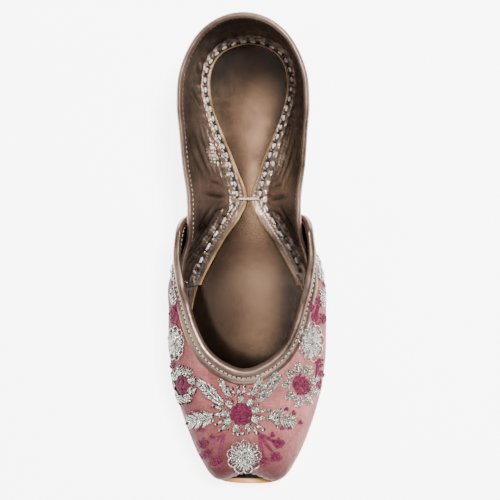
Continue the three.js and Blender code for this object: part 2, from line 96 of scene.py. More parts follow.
# Ribs from the heel to the toe, in shares of the length and of their zone's half widths and height:
# zone, sole's place and half, flange's place and half, top's place and half, height,
# then the wall's bulge, rise, shoulder, lead and drop
RIBS = (
    ("heel", 0.010, 0.00, 0.038, 0.00, 0.0045, 0.00, 1.00, 0.006, 0.30, 0.000, 0.00, 0.35),
    ("heel", 0.022, 0.50, 0.050, 0.40, 0.018, 0.40, 1.00, 0.006, 0.30, 0.000, 0.00, 0.35),
    ("heel", 0.060, 0.87, 0.078, 0.65, 0.056, 0.725, 0.99, 0.007, 0.30, 0.000, 0.00, 0.35),
    ("heel", 0.120, 1.00, 0.124, 0.74, 0.120, 0.95, 0.97, 0.009, 0.30, 0.000, 0.00, 0.35),
    ("heel", 0.184, 0.92, 0.184, 0.66, 0.186, 1.00, 0.93, 0.012, 0.28, 0.002, 0.05, 0.35),
    ("heel", 0.244, 0.76, 0.244, 0.45, 0.244, 0.97, 0.89, 0.015, 0.26, 0.004, 0.10, 0.33),
    ("waist", 0.308, 1.28, 0.308, 0.48, 0.308, 1.07, 1.05, 0.018, 0.22, 0.006, 0.12, 0.32),
    ("waist", 0.372, 1.00, 0.372, 0.07, 0.372, 1.00, 1.00, 0.020, 0.20, 0.006, 0.15, 0.32),
    ("waist", 0.416, 1.36, 0.416, 0.36, 0.416, 0.99, 0.99, 0.020, 0.22, 0.008, 0.20, 0.32),
    ("waist", 0.460, 1.90, 0.460, 0.95, 0.460, 1.01, 0.97, 0.020, 0.25, 0.012, 0.30, 0.32),
    ("ball", 0.512, 0.82, 0.512, 0.49, 0.512, 0.955, 1.00, 0.026, 0.28, 0.018, 0.50, 0.32),
    ("ball", 0.568, 0.945, 0.568, 0.65, 0.560, 0.93, 0.97, 0.026, 0.32, 0.019, 0.70, 0.26),
    ("ball", 0.636, 0.99, 0.628, 0.75, 0.608, 0.865, 0.96, 0.022, 0.36, 0.016, 0.75, 0.20),
    ("ball", 0.712, 1.00, 0.700, 0.77, 0.655, 0.755, 0.97, 0.020, 0.38, 0.012, 0.70, 0.16),
    ("ball", 0.790, 0.965, 0.770, 0.74, 0.692, 0.61, 0.98, 0.014, 0.40, 0.008, 0.62, 0.14),
    ("ball", 0.872, 0.83, 0.845, 0.61, 0.716, 0.43, 0.99, 0.008, 0.42, 0.006, 0.55, 0.14),
    ("ball", 0.946, 0.64, 0.908, 0.44, 0.730, 0.25, 1.00, 0.005, 0.42, 0.004, 0.50, 0.15),
    ("ball", 0.991, 0.42, 0.945, 0.25, 0.737, 0.12, 1.00, 0.003, 0.40, 0.002, 0.48, 0.16),
    ("ball", 1.000, 0.00, 0.955, 0.00, 0.739, 0.00, 1.00, 0.002, 0.38, 0.000, 0.48, 0.16),
)
TOE_RIB = len(RIBS) - 1
# Where the flange climbs over the quarter's, where the toe notch begins and is full, at the tip and round it,
# and where the wings' flare and the room for the quarter end
CLIMB = (WING_START - 13, WING_START - 2)
NOTCH_TIP, NOTCH_ROUND, NOTCH_ROUND_SHARE = (TOE_RIB - 1.1, TOE_RIB), (TOE_RIB - 3, TOE_RIB - 1), 0.15
FLARE_END, ROOM_END = (WING_START + WING_ROUND, QUARTER_END - 4), (QUARTER_END + 1, QUARTER_END + 16)
# The share of the wall over which the vamp comes to stand off the last, and how fast the rim's share falls
STAND_OFF_RISE, DIP_GAIN = (0, 0.8), 1.3
MIRRORED_COLUMNS = ("sole", "edge", "top")


def rib_columns():
    """Each column of the ribs in real lengths, with one mirrored rib before the heel and after the toe."""
    names = "sole_at sole edge_at edge top_at top high bulge rise shoulder lead drop".split()
    columns = {}
    for number, name in enumerate(names, 1):
        values = []
        for rib in RIBS:
            sole_half, top_half, height = ZONES[rib[0]]
            scale = {"sole": sole_half, "edge": sole_half, "top": top_half, "high": height}
            plain = 1.0 if name in ("rise", "drop", "lead") else LENGTH
            values.append(rib[number] * scale.get(name, plain))
        sign = -1 if name in MIRRORED_COLUMNS else 1
        columns[name] = np.array([sign * values[1], *values, sign * values[-2]])
    return columns


COLUMNS = rib_columns()


def smooth_step(start, end, value):
    share = np.clip((value - start) / (end - start), 0, 1)
    return share * share * (3 - 2 * share)


def through(a, b, c, d, u):
    """A smooth curve from b to c, led by their neighbours a and d; u goes from 0 to 1."""
    return b + 0.5 * u * (c - a + u * (2 * a - 5 * b + 4 * c - d + u * (3 * (b - c) + d - a)))


def column(name, rib):
    """A smooth curve through one column of the ribs."""
    index = np.minimum(np.floor(rib), TOE_RIB - 1).astype(int)
    return through(*(COLUMNS[name][index + step] for step in range(4)), rib - index)


def sole_bottom(y):
    at = LENGTH / 2 - y
    spring = np.maximum(at - TREAD_END, 0) / (LENGTH - TREAD_END)
    raised = (LIFT_HEIGHT + CLEARANCE) * (1 - smooth_step(LIFT_LENGTH, TREAD_START, at))
    return raised + TOE_SPRING * spring ** 2


def sole_top(y):
    return sole_bottom(y) + SOLE_THICKNESS


def insole_top(y):
    return sole_top(y) + CLEARANCE + INSOLE_THICKNESS


def wrap_place(place):
    """A place past the toe comes back on the shoe's other side."""
    place = np.where(place > TOE_RIB, place - 2 * TOE_RIB, place)
    return np.where(place < -TOE_RIB, place + 2 * TOE_RIB, place)


def plan_point(place, at_name, half_name):
    place = wrap_place(np.asarray(place, float))
    side = np.where(place < 0, -1, 1)
    return np.stack([side * column(half_name, abs(place)), LENGTH / 2 - column(at_name, abs(place))], -1)


def unit(vectors):
    return vectors / np.linalg.norm(vectors, axis=-1, keepdims=True)


def outward(place):
    """The way out of the shoe at the sole's edge, square to the edge."""
    step = 0.02
    along = plan_point(place + step, "sole_at", "sole") - plan_point(place - step, "sole_at", "sole")
    along = unit(along)
    return np.stack([-along[..., 1], along[..., 0]], -1)


def flange_climb(at):
    return (VAMP_WALL + CLEARANCE) * smooth_step(*CLIMB, at)


def toe_notch(rib):
    gather = smooth_step(*NOTCH_TIP, rib) + NOTCH_ROUND_SHARE * smooth_step(*NOTCH_ROUND, rib)
    return TOE_NOTCH_DEPTH * gather


def place_at(at):
    """The place whose rib meets the sole's edge this far from the heel end."""
    places = np.linspace(0, TOE_RIB, 4001)
    return float(np.interp(at, column("sole_at", places), places))


WING_PLACE = place_at(WING_START)
WING_ROUND_PLACES = place_at(WING_START + WING_ROUND) - WING_PLACE
QUARTER_END_PLACE = place_at(QUARTER_END)


def last_point(place, share):
    """The last's surface: share 0 is the flange's raw edge, 1 the wall's top."""
    place, share = np.broadcast_arrays(np.asarray(place, float), np.asarray(share, float))
    rib = abs(wrap_place(place))
    out = outward(place)
    climb = flange_climb(column("sole_at", rib))
    setback = UPPER_SETBACK + climb + toe_notch(rib)
    foot = plan_point(place, "sole_at", "sole") - out * setback[..., None]
    fold = foot - out * TURN_RADIUS
    top = plan_point(place, "top_at", "top")
    edge = plan_point(place, "edge_at", "edge")

    across = np.clip(share / TURN_START, 0, 1)[..., None]
    flange = edge + (fold - edge) * across
    flange_level = insole_top(flange[..., 1]) + CLEARANCE + climb

    foot_level = insole_top(foot[..., 1]) + CLEARANCE + climb + TURN_RADIUS
    angle = np.pi / 2 * np.clip((share - TURN_START) / (WALL_START - TURN_START), 0, 1)
    turn = fold + out * (TURN_RADIUS * np.sin(angle))[..., None]
    turn_level = foot_level - TURN_RADIUS * np.cos(angle)

    u = np.clip((share - WALL_START) / (1 - WALL_START), 0, 2)
    top_level = column("high", rib)
    wall = top_level - foot_level
    low = foot + out * column("bulge", rib)[..., None]
    high = top + (foot - top) * column("lead", rib)[..., None] + out * column("shoulder", rib)[..., None]
    levels = (
        foot_level,
        foot_level + column("rise", rib) * wall,
        top_level - column("drop", rib) * wall,
        top_level,
    )
    weights = ((1 - u) ** 3, 3 * u * (1 - u) ** 2, 3 * u * u * (1 - u), u ** 3)
    plan = sum(weight[..., None] * point for weight, point in zip(weights, (foot, low, high, top)))
    level = sum(weight * value for weight, value in zip(weights, levels))

    on_flange, on_turn = share < TURN_START, share < WALL_START
    plan = np.where(on_flange[..., None], flange, np.where(on_turn[..., None], turn, plan))
    level = np.where(on_flange, flange_level, np.where(on_turn, turn_level, level))
    return np.concatenate([plan, level[..., None]], -1)


def last_normal(place, share):
    place_step, share_step = 0.02, 0.004
    along = last_point(place + place_step, share) - last_point(place - place_step, share)
    above, below = np.minimum(share + share_step, 1), np.maximum(share - share_step, 0)
    up = last_point(place, above) - last_point(place, below)
    return unit(np.cross(up, along))


def wall_share(share):
    return np.maximum((share - WALL_START) / (1 - WALL_START), 0)


def vamp_stand_off(place, share):
    """How far the vamp's inner face stands out from the last."""
    at = column("sole_at", abs(wrap_place(place)))
    flare = (WING_FLARE - OVERLAP_ROOM) * (1 - smooth_step(*FLARE_END, at))
    room = OVERLAP_ROOM * (1 - smooth_step(*ROOM_END, at))
    return CLEARANCE + (flare + room) * smooth_step(*STAND_OFF_RISE, wall_share(share))


def vamp_wall(place, share, offset):
    stand_off = vamp_stand_off(place, share) + offset
    return last_point(place, share) + last_normal(place, share) * stand_off[..., None]


def quarter_wall(place, share, offset):
    return last_point(place, share) + last_normal(place, share) * offset


def quarter_top(place):
    """The rim's share: it dips under the vamp's collar towards the quarter's front ends."""
    at = column("sole_at", abs(wrap_place(place)))
    dip = QUARTER_TUCK * smooth_step(WING_START, WING_START + 2 * WING_ROUND, at)
    return 1 - dip / column("high", abs(wrap_place(place))) * (1 - WALL_START) * DIP_GAIN


def wing_start(share):
    """Where a wing's back edge is: straight up at first, then rounded towards the toe."""
    rounded = np.maximum((wall_share(share) - WING_STRAIGHT) / (1 - WING_STRAIGHT), 0)
    return WING_PLACE + WING_ROUND_PLACES * (1 - np.sqrt(np.maximum(1 - rounded ** 2, 0)))


# Materials

def rgb(red, green, blue):
    """A colour from 0 to 255 in Blender's linear values."""
    return tuple((value / 255) ** 2.2 for value in (red, green, blue)) + (1.0,)


# Near black, mixed in as painted shade wherever a mesh's shade attribute asks for it
PAINTED_SHADE_BLACK = rgb(14, 10, 8)


class Paint:
    """A procedural material: its shader and the textures that feed it."""

    def __init__(self, name, **sockets):
        self.material = bpy.data.materials.new(name)
        self.material.use_nodes = True
        self.tree = self.material.node_tree
        self.shader = self.tree.nodes["Principled BSDF"]
        for socket, value in sockets.items():
            self.shader.inputs[socket.replace("_", " ")].default_value = value
        self.place = self.node("ShaderNodeTexCoord").outputs["Object"]
        self.height = None

    def node(self, kind, settings=None, **inputs):
        node = self.tree.nodes.new(kind)
        for key, value in (settings or {}).items():
            setattr(node, key, value)
        for key, value in inputs.items():
            self.feed(node.inputs[key.replace("_", " ")], value)
        return node

    def feed(self, socket, value):
        if isinstance(value, bpy.types.NodeSocket):
            self.tree.links.new(value, socket)
        else:
            socket.default_value = value

    def stretched(self, x, y, z):
        return self.node("ShaderNodeMapping", Vector=self.place, Scale=(x, y, z)).outputs["Vector"]

    def noise(self, scale, detail=3.0, where=None):
        place = self.place if where is None else where
        return self.node("ShaderNodeTexNoise", Vector=place, Scale=scale, Detail=detail).outputs["Fac"]

    def cells(self, scale, where=None):
        place = self.place if where is None else where
        return self.node("ShaderNodeTexVoronoi", Vector=place, Scale=scale).outputs["Distance"]

    def waves(self, scale, distortion=0.0, direction="X", where=None):
        place = self.place if where is None else where
        settings = {"bands_direction": direction}
        node = self.node("ShaderNodeTexWave", settings, Vector=place, Scale=scale, Distortion=distortion)
        return node.outputs["Fac"]

    def ramp(self, value, *stops):
        node = self.node("ShaderNodeValToRGB", Fac=value)
        elements = node.color_ramp.elements
        while len(elements) < len(stops):
            elements.new(0.5)
        for element, (position, colour) in zip(elements, stops):
            element.position = position
            element.color = colour
        return node.outputs["Color"]

    def grey(self, value, low, high, start=0.3, end=0.7):
        stops = [(start, (low, low, low, 1)), (end, (high, high, high, 1))]
        return self.ramp(value, *stops)

    def mix(self, share, first, second, blend="MIX"):
        node = self.tree.nodes.new("ShaderNodeMix")
        node.data_type = "RGBA"
        node.blend_type = blend
        self.feed(node.inputs[0], share)
        self.feed(node.inputs[6], first)
        self.feed(node.inputs[7], second)
        return node.outputs[2]

    def maths(self, operation, first, second):
        node = self.node("ShaderNodeMath", {"operation": operation})
        self.feed(node.inputs[0], first)
        self.feed(node.inputs[1], second)
        return node.outputs[0]

    def span(self, value, start, end):
        """0 where the value is at the start, 1 where it is at the end."""
        node = self.node("ShaderNodeMapRange", Value=value, From_Min=start, From_Max=end)
        return node.outputs["Result"]

    def attribute(self, name):
        return self.node("ShaderNodeAttribute", {"attribute_name": name}).outputs["Fac"]

    def colour(self, value):
        self.feed(self.shader.inputs["Base Color"], value)

    def rough(self, value):
        self.feed(self.shader.inputs["Roughness"], value)

    def bump(self, height, depth, strength=1.0):
        """Adds relief of this depth in millimetres."""
        node = self.node("ShaderNodeBump", Height=height, Distance=depth * MM, Strength=strength)
        if self.height is not None:
            self.feed(node.inputs["Normal"], self.height)
        self.height = node.outputs["Normal"]
        self.feed(self.shader.inputs["Normal"], self.height)


def foil_leather(name, dark, light, metallic, smooth, matt, grain_depth, wrinkle_depth, streak_depth=0.0):
    """Soft leather with a metallic foil: fine grain, cloudy tone, and painted shade where the mesh's shade
    attribute marks dents, creases, holes and gaps.
    """
    paint = Paint(name, Metallic=metallic)
    tone = paint.ramp(paint.noise(38, 4), (0.3, dark), (0.68, light))
    pores = paint.grey(paint.cells(1500), 0.72, 1.0, 0.0, 0.35)
    tone = paint.mix(0.6, tone, pores, "MULTIPLY")
    rubbed = paint.grey(paint.noise(420, 5), 0.0, 0.35, 0.52, 0.75)
    tone = paint.mix(rubbed, tone, light)
    # Painted shade from the mesh's shade attribute
    tone = paint.mix(paint.attribute("shade"), tone, PAINTED_SHADE_BLACK)
    paint.colour(tone)
    paint.rough(paint.grey(paint.noise(160, 4), smooth, matt))
    if streak_depth:
        paint.bump(paint.noise(1.0, 4, paint.stretched(620, 130, 620)), streak_depth)
    paint.bump(paint.noise(420, 5), wrinkle_depth)
    paint.bump(paint.cells(1700), grain_depth)
    return paint.material


def silk(name):
    """Dusty pink raw silk: two crossing sets of threads with slubs, with painted shade towards the toe and
    the sides, the left most, and in the gathers' troughs.
    """
    paint = Paint(name, Metallic=0.1, Specular_IOR_Level=0.1)
    weft = paint.noise(1.0, 3, paint.stretched(140, 1900, 900))
    warp = paint.noise(1.0, 3, paint.stretched(1700, 120, 900))
    tone = paint.ramp(paint.noise(26, 3), (0.32, rgb(112, 61, 62)), (0.66, rgb(188, 128, 126)))
    weft_tone = paint.ramp(weft, (0.3, rgb(190, 148, 146)), (0.7, rgb(255, 246, 240)))
    tone = paint.mix(0.55, tone, weft_tone, "MULTIPLY")
    warp_tone = paint.ramp(warp, (0.32, rgb(186, 140, 140)), (0.68, rgb(255, 250, 246)))
    tone = paint.mix(0.4, tone, warp_tone, "MULTIPLY")
    # Painted shade: the silk darkens towards the toe and the sides, the left most
    toe_shade_start, toe_shade_end = -0.078, -0.118
    side_shade_middle, side_shade_start, side_shade_end = 0.005, 0.026, 0.045
    place = paint.node("ShaderNodeSeparateXYZ", Vector=paint.place).outputs
    toe = paint.span(place["Y"], toe_shade_start, toe_shade_end)
    side = paint.maths("ABSOLUTE", paint.maths("SUBTRACT", place["X"], side_shade_middle), 0.0)
    side = paint.span(side, side_shade_start, side_shade_end)
    tone = paint.mix(paint.maths("MULTIPLY", toe, 0.9), tone, rgb(58, 19, 24))
    tone = paint.mix(paint.maths("MULTIPLY", side, 0.88), tone, rgb(60, 20, 25))
    # Painted shade in the gathers' troughs, from the mesh's shade attribute
    tone = paint.mix(paint.attribute("shade"), tone, rgb(92, 44, 46))
    paint.colour(tone)
    paint.rough(paint.grey(weft, 0.5, 0.66))
    for relief, depth in ((paint.noise(60, 3), 2.8), (paint.noise(170, 3), 0.8), (weft, 0.10), (warp, 0.07)):
        paint.bump(relief, depth)
    return paint.material


def hide(name, dark, light, layers=True):
    """Plain vegetable leather with cut edges whose layers show, and painted shade where the mesh's shade
    attribute marks a gap.
    """
    paint = Paint(name)
    tone = paint.ramp(paint.noise(90, 5), (0.3, dark), (0.7, light))
    streaks = paint.noise(1.0, 4, paint.stretched(90, 90, 2600))
    if layers:
        tone = paint.mix(0.5, tone, paint.ramp(streaks, (0.35, dark), (0.62, (1, 1, 1, 1))), "MULTIPLY")
    scuffs = paint.grey(paint.noise(1.0, 6, paint.stretched(700, 120, 300)), 0.0, 0.5, 0.6, 0.8)
    tone = paint.mix(scuffs, tone, dark)
    # Painted shade from the mesh's shade attribute, at the toe notch's gap
    tone = paint.mix(paint.attribute("shade"), tone, PAINTED_SHADE_BLACK)
    paint.colour(tone)
    paint.rough(paint.grey(paint.noise(300, 4), 0.52, 0.74))
    paint.bump(streaks, 0.12)
    paint.bump(paint.cells(1300), 0.05)
    return paint.material


def yarn(name, dark, light, smooth, matt, metallic=0.0, twist=2600.0, depth=0.09, sheen=0.0):
    """Twisted thread or wire: fine diagonal bands with uneven tone, and painted shade on the rods'
    undersides.
    """
    paint = Paint(name, Metallic=metallic, Sheen_Weight=sheen)
    turns = paint.waves(twist, 3.0, "DIAGONAL")
    tone = paint.ramp(paint.noise(900, 3), (0.32, dark), (0.64, light))
    tone = paint.mix(0.45, tone, paint.grey(turns, 0.45, 1.0, 0.1, 0.7), "MULTIPLY")
    # Painted shade on the threads' undersides, from the mesh's shade attribute
    underside_shade = tuple(0.2 * own + 0.8 * black for own, black in zip(dark, rgb(12, 8, 10)))
    tone = paint.mix(paint.attribute("shade"), tone, underside_shade)
    paint.colour(tone)
    paint.rough(paint.grey(paint.noise(1300, 3), smooth, matt))
    paint.bump(turns, depth)
    return paint.material


LINING = foil_leather(
    "foil_lining", rgb(40, 33, 29), rgb(118, 98, 85),
    metallic=0.65, smooth=0.28, matt=0.42, grain_depth=0.03, wrinkle_depth=0.14, streak_depth=0.26,
)
INSOLE = foil_leather(
    "foil_insole", rgb(76, 56, 43), rgb(112, 88, 69),
    metallic=0.85, smooth=0.19, matt=0.25, grain_depth=0.006, wrinkle_depth=0.006,
)
PIPING = foil_leather(
    "foil_piping", rgb(70, 55, 48), rgb(134, 110, 97),
    metallic=0.75, smooth=0.27, matt=0.4, grain_depth=0.03, wrinkle_depth=0.05,
)
SILK = silk("pink_raw_silk")
TAN = hide("tan_sole", rgb(184, 118, 54), rgb(232, 176, 104))
TAN_EDGE = hide("tan_cut_edge", rgb(118, 78, 42), rgb(206, 160, 102), layers=False)
COTTON = yarn("white_cotton", rgb(176, 168, 156), rgb(236, 231, 222), smooth=0.6, matt=0.85, sheen=0.2)
TAN_THREAD = yarn("tan_thread", rgb(168, 142, 112), rgb(232, 216, 190), smooth=0.5, matt=0.75)
SILVER = yarn(
    "silver_wire", rgb(80, 76, 69), rgb(222, 217, 206),
    metallic=0.85, smooth=0.18, matt=0.36, twist=3000.0, depth=0.06,
)
MAGENTA = yarn("magenta_thread", rgb(60, 2, 31), rgb(146, 15, 80), smooth=0.48, matt=0.72)
CORAL = yarn("coral_thread", rgb(104, 16, 20), rgb(184, 50, 44), smooth=0.42, matt=0.7)


# Meshes

WELD_DISTANCE = 1e-6


def make_piece(name, points, faces, materials, face_materials=None, sharp=48.0, merged=False, shade=None):
    """An object from points in millimetres, riding on the part."""
    mesh = bpy.data.meshes.new(name)
    mesh.from_pydata((np.asarray(points) * MM).tolist(), [], faces)
    for material in materials:
        mesh.materials.append(material)
    if face_materials is not None:
        mesh.polygons.foreach_set("material_index", np.asarray(face_materials, dtype=np.int32))
    if shade is not None:
        layer = mesh.attributes.new("shade", "FLOAT", "POINT")
        layer.data.foreach_set("value", np.asarray(shade, dtype=np.float32))
    if merged:
        work = bmesh.new()
        work.from_mesh(mesh)
        bmesh.ops.remove_doubles(work, verts=work.verts, dist=WELD_DISTANCE)
        bmesh.ops.recalc_face_normals(work, faces=work.faces)
        work.to_mesh(mesh)
        work.free()
    mesh.shade_smooth()
    mesh.set_sharp_from_angle(angle=math.radians(sharp))
    piece = bpy.data.objects.new(name, mesh)
    bpy.context.scene.collection.objects.link(piece)
    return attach(piece, "root")


def quads(index):
    """The faces of a grid of vertex numbers."""
    corners = [index[:-1, :-1], index[1:, :-1], index[1:, 1:], index[:-1, 1:]]
    return np.stack(corners, -1).reshape(-1, 4)


def numbered(*shape):
    """A grid of vertex numbers."""
    return np.arange(math.prod(shape)).reshape(shape)


def tube(count, size):
    """The vertex numbers of this many rings of this size, and the faces that join them."""
    index = numbered(count, size)
    return index, quads(np.concatenate([index, index[:, :1]], 1)).tolist()


def closed_wall(inner, outer):
    """Points and faces of a wall between two grids, with each face's kind: 0 inner, 1 outer, 2 cut edge."""
    rows, columns = inner.shape[:2]
    lining, face = numbered(2, rows, columns)
    edges = [
        np.stack([lining[:-1, 0], face[:-1, 0], face[1:, 0], lining[1:, 0]], -1),
        np.stack([lining[:-1, -1], lining[1:, -1], face[1:, -1], face[:-1, -1]], -1),
        np.stack([lining[0, :-1], lining[0, 1:], face[0, 1:], face[0, :-1]], -1),
        np.stack([lining[-1, :-1], face[-1, :-1], face[-1, 1:], lining[-1, 1:]], -1),
    ]
    groups = [quads(lining), quads(face)[:, ::-1], np.concatenate(edges)]
    kinds = np.repeat([0, 1, 2], [len(group) for group in groups])
    points = np.concatenate([inner.reshape(-1, 3), outer.reshape(-1, 3)])
    return points, np.concatenate(groups).tolist(), kinds


def swept(rings):
    """Points and faces of a bar whose closed section is carried along a path, with flat ends."""
    index, faces = tube(*rings.shape[:2])
    faces.append(index[0].tolist())
    faces.append(index[-1, ::-1].tolist())
    return rings.reshape(-1, 3), faces


def share_rows(first, top, flange_rows, turn_rows, wall_rows):
    """Shares from the raw edge to the top, as one row for each place's own top."""
    flange = first + (TURN_START - first) * np.linspace(0, 1, flange_rows, endpoint=False)
    turn = TURN_START + (WALL_START - TURN_START) * np.linspace(0, 1, turn_rows, endpoint=False)
    wall = np.linspace(0, 1, wall_rows)
    top = np.asarray(top)[:, None]
    fixed = np.broadcast_to(np.concatenate([flange, turn]), (len(top), flange_rows + turn_rows))
    return np.concatenate([fixed, WALL_START + (top - WALL_START) * wall], 1)


def smooth_path(points, count):
    """A smooth curve through given points, evenly spaced along its length."""
    points = np.asarray(points, float)
    padded = np.concatenate([[2 * points[0] - points[1]], points, [2 * points[-1] - points[-2]]])
    t = np.linspace(0, len(points) - 1, 40 * len(points))
    index = np.minimum(t.astype(int), len(points) - 2)
    dense = through(*(padded[index + step] for step in range(4)), (t - index)[:, None])
    length = path_length(dense)
    wanted = np.linspace(0, length[-1], count)
    return np.stack([np.interp(wanted, length, dense[:, k]) for k in range(dense.shape[1])], -1)


def path_length(points):
    steps = np.linalg.norm(np.diff(points, axis=0), axis=1)
    return np.concatenate([[0], np.cumsum(steps)])


class Threads:
    """Many small rods and beads of one thread, joined into one mesh."""

    def __init__(self):
        self.points, self.faces, self.shade, self.count = [], [], [], 0

    def add(self, points, faces, shade):
        self.faces += [[corner + self.count for corner in face] for face in faces]
        self.points.append(points)
        self.shade.append(shade)
        self.count += len(points)

    def rod(self, path, normals, radii, sides=6):
        """A closed round rod along a path over a surface with these normals."""
        path = np.asarray(path)
        count = len(path)
        radii = np.broadcast_to(radii, count)[:, None, None]
        along = unit(np.gradient(path, axis=0))
        side = unit(np.cross(along, normals))
        up = np.cross(side, along)
        angle = np.arange(sides) * 2 * np.pi / sides
        ring = np.cos(angle)[None, :, None] * side[:, None] + np.sin(angle)[None, :, None] * up[:, None]
        rings = path[:, None] + radii * ring
        points = np.concatenate([rings.reshape(-1, 3), path[:1], path[-1:]])
        index, faces = tube(count, sides)
        first, last = count * sides, count * sides + 1
        faces += [[first, here, after] for here, after in zip(index[0], np.roll(index[0], -1))]
        faces += [[last, after, here] for here, after in zip(index[-1], np.roll(index[-1], -1))]
        # Painted shade on each ring's lower side and on the end caps
        underside_shade = np.clip(0.4 - np.sin(angle), 0, 1)
        self.add(points, faces, np.concatenate([np.tile(underside_shade, count), (0.7, 0.7)]))

    def build(self, name, material, slot):
        """Joins the rods: their undersides carry painted shade, where threads sink into each other."""
        shade = np.concatenate(self.shade)
        piece = make_piece(name, np.concatenate(self.points), self.faces, [material], sharp=75.0, shade=shade)
        return piece


ROUNDED = np.linspace(-1, 1, 7)


def stitch_row(threads, path, normals, centres, lengths, radius, sides=6, distance=None):
    """A row of stitches along a path: each lies on the surface and dips into it at both ends."""
    distance = path_length(path) if distance is None else distance
    for centre, length in zip(centres, lengths):
        if centre + length / 2 > distance[-1]:
            continue
        places = centre + ROUNDED * length / 2
        spot = np.stack([np.interp(places, distance, path[:, k]) for k in range(3)], -1)
        away = unit(np.stack([np.interp(places, distance, normals[:, k]) for k in range(3)], -1))
        arch = np.sqrt(np.maximum(1 - ROUNDED ** 2, 0))
        spot = spot + away * (radius * (1.25 * arch - 0.55))[:, None]
        threads.rod(spot, away, radius * (0.45 + 0.55 * arch), sides)


def even_row(threads, path, normals, pitch, length, radius):
    """A row of equal stitches from end to end."""
    centres = np.arange(pitch / 2, path_length(path)[-1], pitch)
    stitch_row(threads, path, normals, centres, np.full(len(centres), length), radius)


# The flange's big white stitches: half width and distance from the heel end
FLANGE_STITCHES = (
    (0.0, 7.9), (8.0, 9.3), (15.5, 13.0), (20.8, 19.0), (23.6, 27.0), (23.3, 36.0), (20.9, 45.0),
    (16.9, 58.0), (11.9, 70.0), (8.6, 82.0), (6.4, 91.0), (8.0, 96.0), (11.6, 102.0), (16.3, 110.0),
    (21.7, 119.0), (26.0, 127.0), (30.0, 136.0),
)
HEEL_PITCH, HEEL_STITCH = 5.4, 2.7
FRONT_PITCH, FRONT_STITCH = 8.3, 4.2
STITCH_CHANGE_AT = 95.0
STITCH_RADIUS = 0.68
FLANGE_PATH = smooth_path([(half, LENGTH / 2 - at) for half, at in FLANGE_STITCHES], 700)
FLANGE_DISTANCE = path_length(FLANGE_PATH)
STITCH_CHANGE = FLANGE_DISTANCE[np.argmax(FLANGE_PATH[:, 1] < LENGTH / 2 - STITCH_CHANGE_AT)]
HEEL_CENTRES = np.arange(HEEL_PITCH / 2, STITCH_CHANGE, HEEL_PITCH)
FRONT_CENTRES = np.arange(STITCH_CHANGE + FRONT_PITCH / 2, FLANGE_DISTANCE[-1], FRONT_PITCH)
STITCH_CENTRES = np.concatenate([HEEL_CENTRES, FRONT_CENTRES])
STITCH_PITCHES = np.repeat([HEEL_PITCH, FRONT_PITCH], [len(HEEL_CENTRES), len(FRONT_CENTRES)])
STITCH_LENGTHS = np.repeat([HEEL_STITCH, FRONT_STITCH], [len(HEEL_CENTRES), len(FRONT_CENTRES)])
STITCH_LENGTHS = STITCH_LENGTHS * np.random.default_rng(5).uniform(0.82, 1.12, len(STITCH_LENGTHS))
# How far the lining's raw edge is pared back, as a share like the last's
SKIVE_SHARE = 0.028

# Creases of the quarter's lining, as three points each: distance from the heel end and height up the wall,
# then depth and width, all in millimetres
CREASES = (
    ((92, 0.5), (76, 2.5), (54, 1.5), 0.55, 1.0),
    ((91, 2.5), (75, 6.0), (50, 5.5), 0.50, 1.1),
    ((90, 5.0), (74, 10.0), (54, 11.5), 0.42, 1.3),
    ((88, 8.5), (76, 15.0), (60, 19.0), 0.32, 1.6),
    ((86, 16.0), (76, 22.0), (66, 27.0), 0.22, 1.8),
    ((97, 0.5), (112, 2.0), (135, 2.5), 0.50, 1.0),
    ((98, 3.5), (113, 6.5), (134, 8.5), 0.45, 1.2),
    ((99, 7.0), (112, 12.0), (128, 16.0), 0.36, 1.4),
    ((97, 12.0), (106, 18.0), (117, 23.0), 0.28, 1.6),
    ((94, 0.0), (95, 9.0), (93, 20.0), 0.40, 1.3),
    ((89, 1.0), (86, 7.0), (87, 13.0), 0.28, 1.0),
    ((100, 1.0), (103, 6.0), (103, 11.0), 0.28, 1.0),
    ((48, 0.0), (42, 6.0), (38, 16.0), 0.22, 1.5),
    ((30, 0.0), (27, 6.0), (24, 14.0), 0.20, 1.6),
)
CREASE_STRENGTH = 2.0
CREASE_REACH = 9.0
LEFT_CREASE_SHIFT = 1.6
# The soft ridge on each side of a crease: its height and place, as shares of the crease's depth and width
RIDGE_HEIGHT, RIDGE_PLACE = 0.5, 2.0
WALL_HEIGHT_IN_CREASES = 38.0
FOLD_HEIGHT_IN_CREASES = 12.0


def crease_relief(at, up, side):
    """How far the lining moves towards the foot: troughs with a soft ridge on each side."""
    relief = np.zeros(at.shape)
    shift = np.where(side < 0, LEFT_CREASE_SHIFT, 0.0)
    t = np.linspace(0, 1, 22)
    for start, middle, end, depth, width in CREASES:
        weights = ((1 - t) ** 2, 2 * t * (1 - t), t * t)
        line = sum(weight[:, None] * np.array(point) for weight, point in zip(weights, (start, middle, end)))
        near = (at > line[:, 0].min() - CREASE_REACH) & (at < line[:, 0].max() + CREASE_REACH)
        gap = np.hypot(
            at[near][:, None] + shift[near][:, None] - line[:, 0],
            up[near][:, None] - shift[near][:, None] * 0.6 - line[:, 1],
        )
        nearest = gap.argmin(1)
        gap = gap.min(1)
        fade = np.sin(np.pi * np.clip(t[nearest], 0.04, 0.96)) ** 0.6
        trough = np.exp(-(gap / width) ** 2)
        ridge = RIDGE_HEIGHT * np.exp(-((gap - RIDGE_PLACE * width) / width) ** 2)
        relief[near] += CREASE_STRENGTH * fade * depth * (ridge - trough)
    return relief


# The lining round the flange's stitches, in millimetres: the holes at a stitch's ends, the leather raised
# between two stitches, the crimped row inside them and the puckers outside them
HOLE_PAST_END, HOLE_REACH, HOLE_DEPTH = 0.25, 0.95, 0.75
BRIDGE_LENGTH, BRIDGE_WIDTH, BRIDGE_RISE = 0.9, 1.9, 0.30
CRIMP_PLACE, CRIMP_WIDTH, CRIMP_PITCH, CRIMP_DEPTH = 2.6, 0.6, 1.7, 0.32
PUCKER_PLACE, PUCKER_WIDTH, PUCKER_RISE = 3.6, 2.4, 0.34


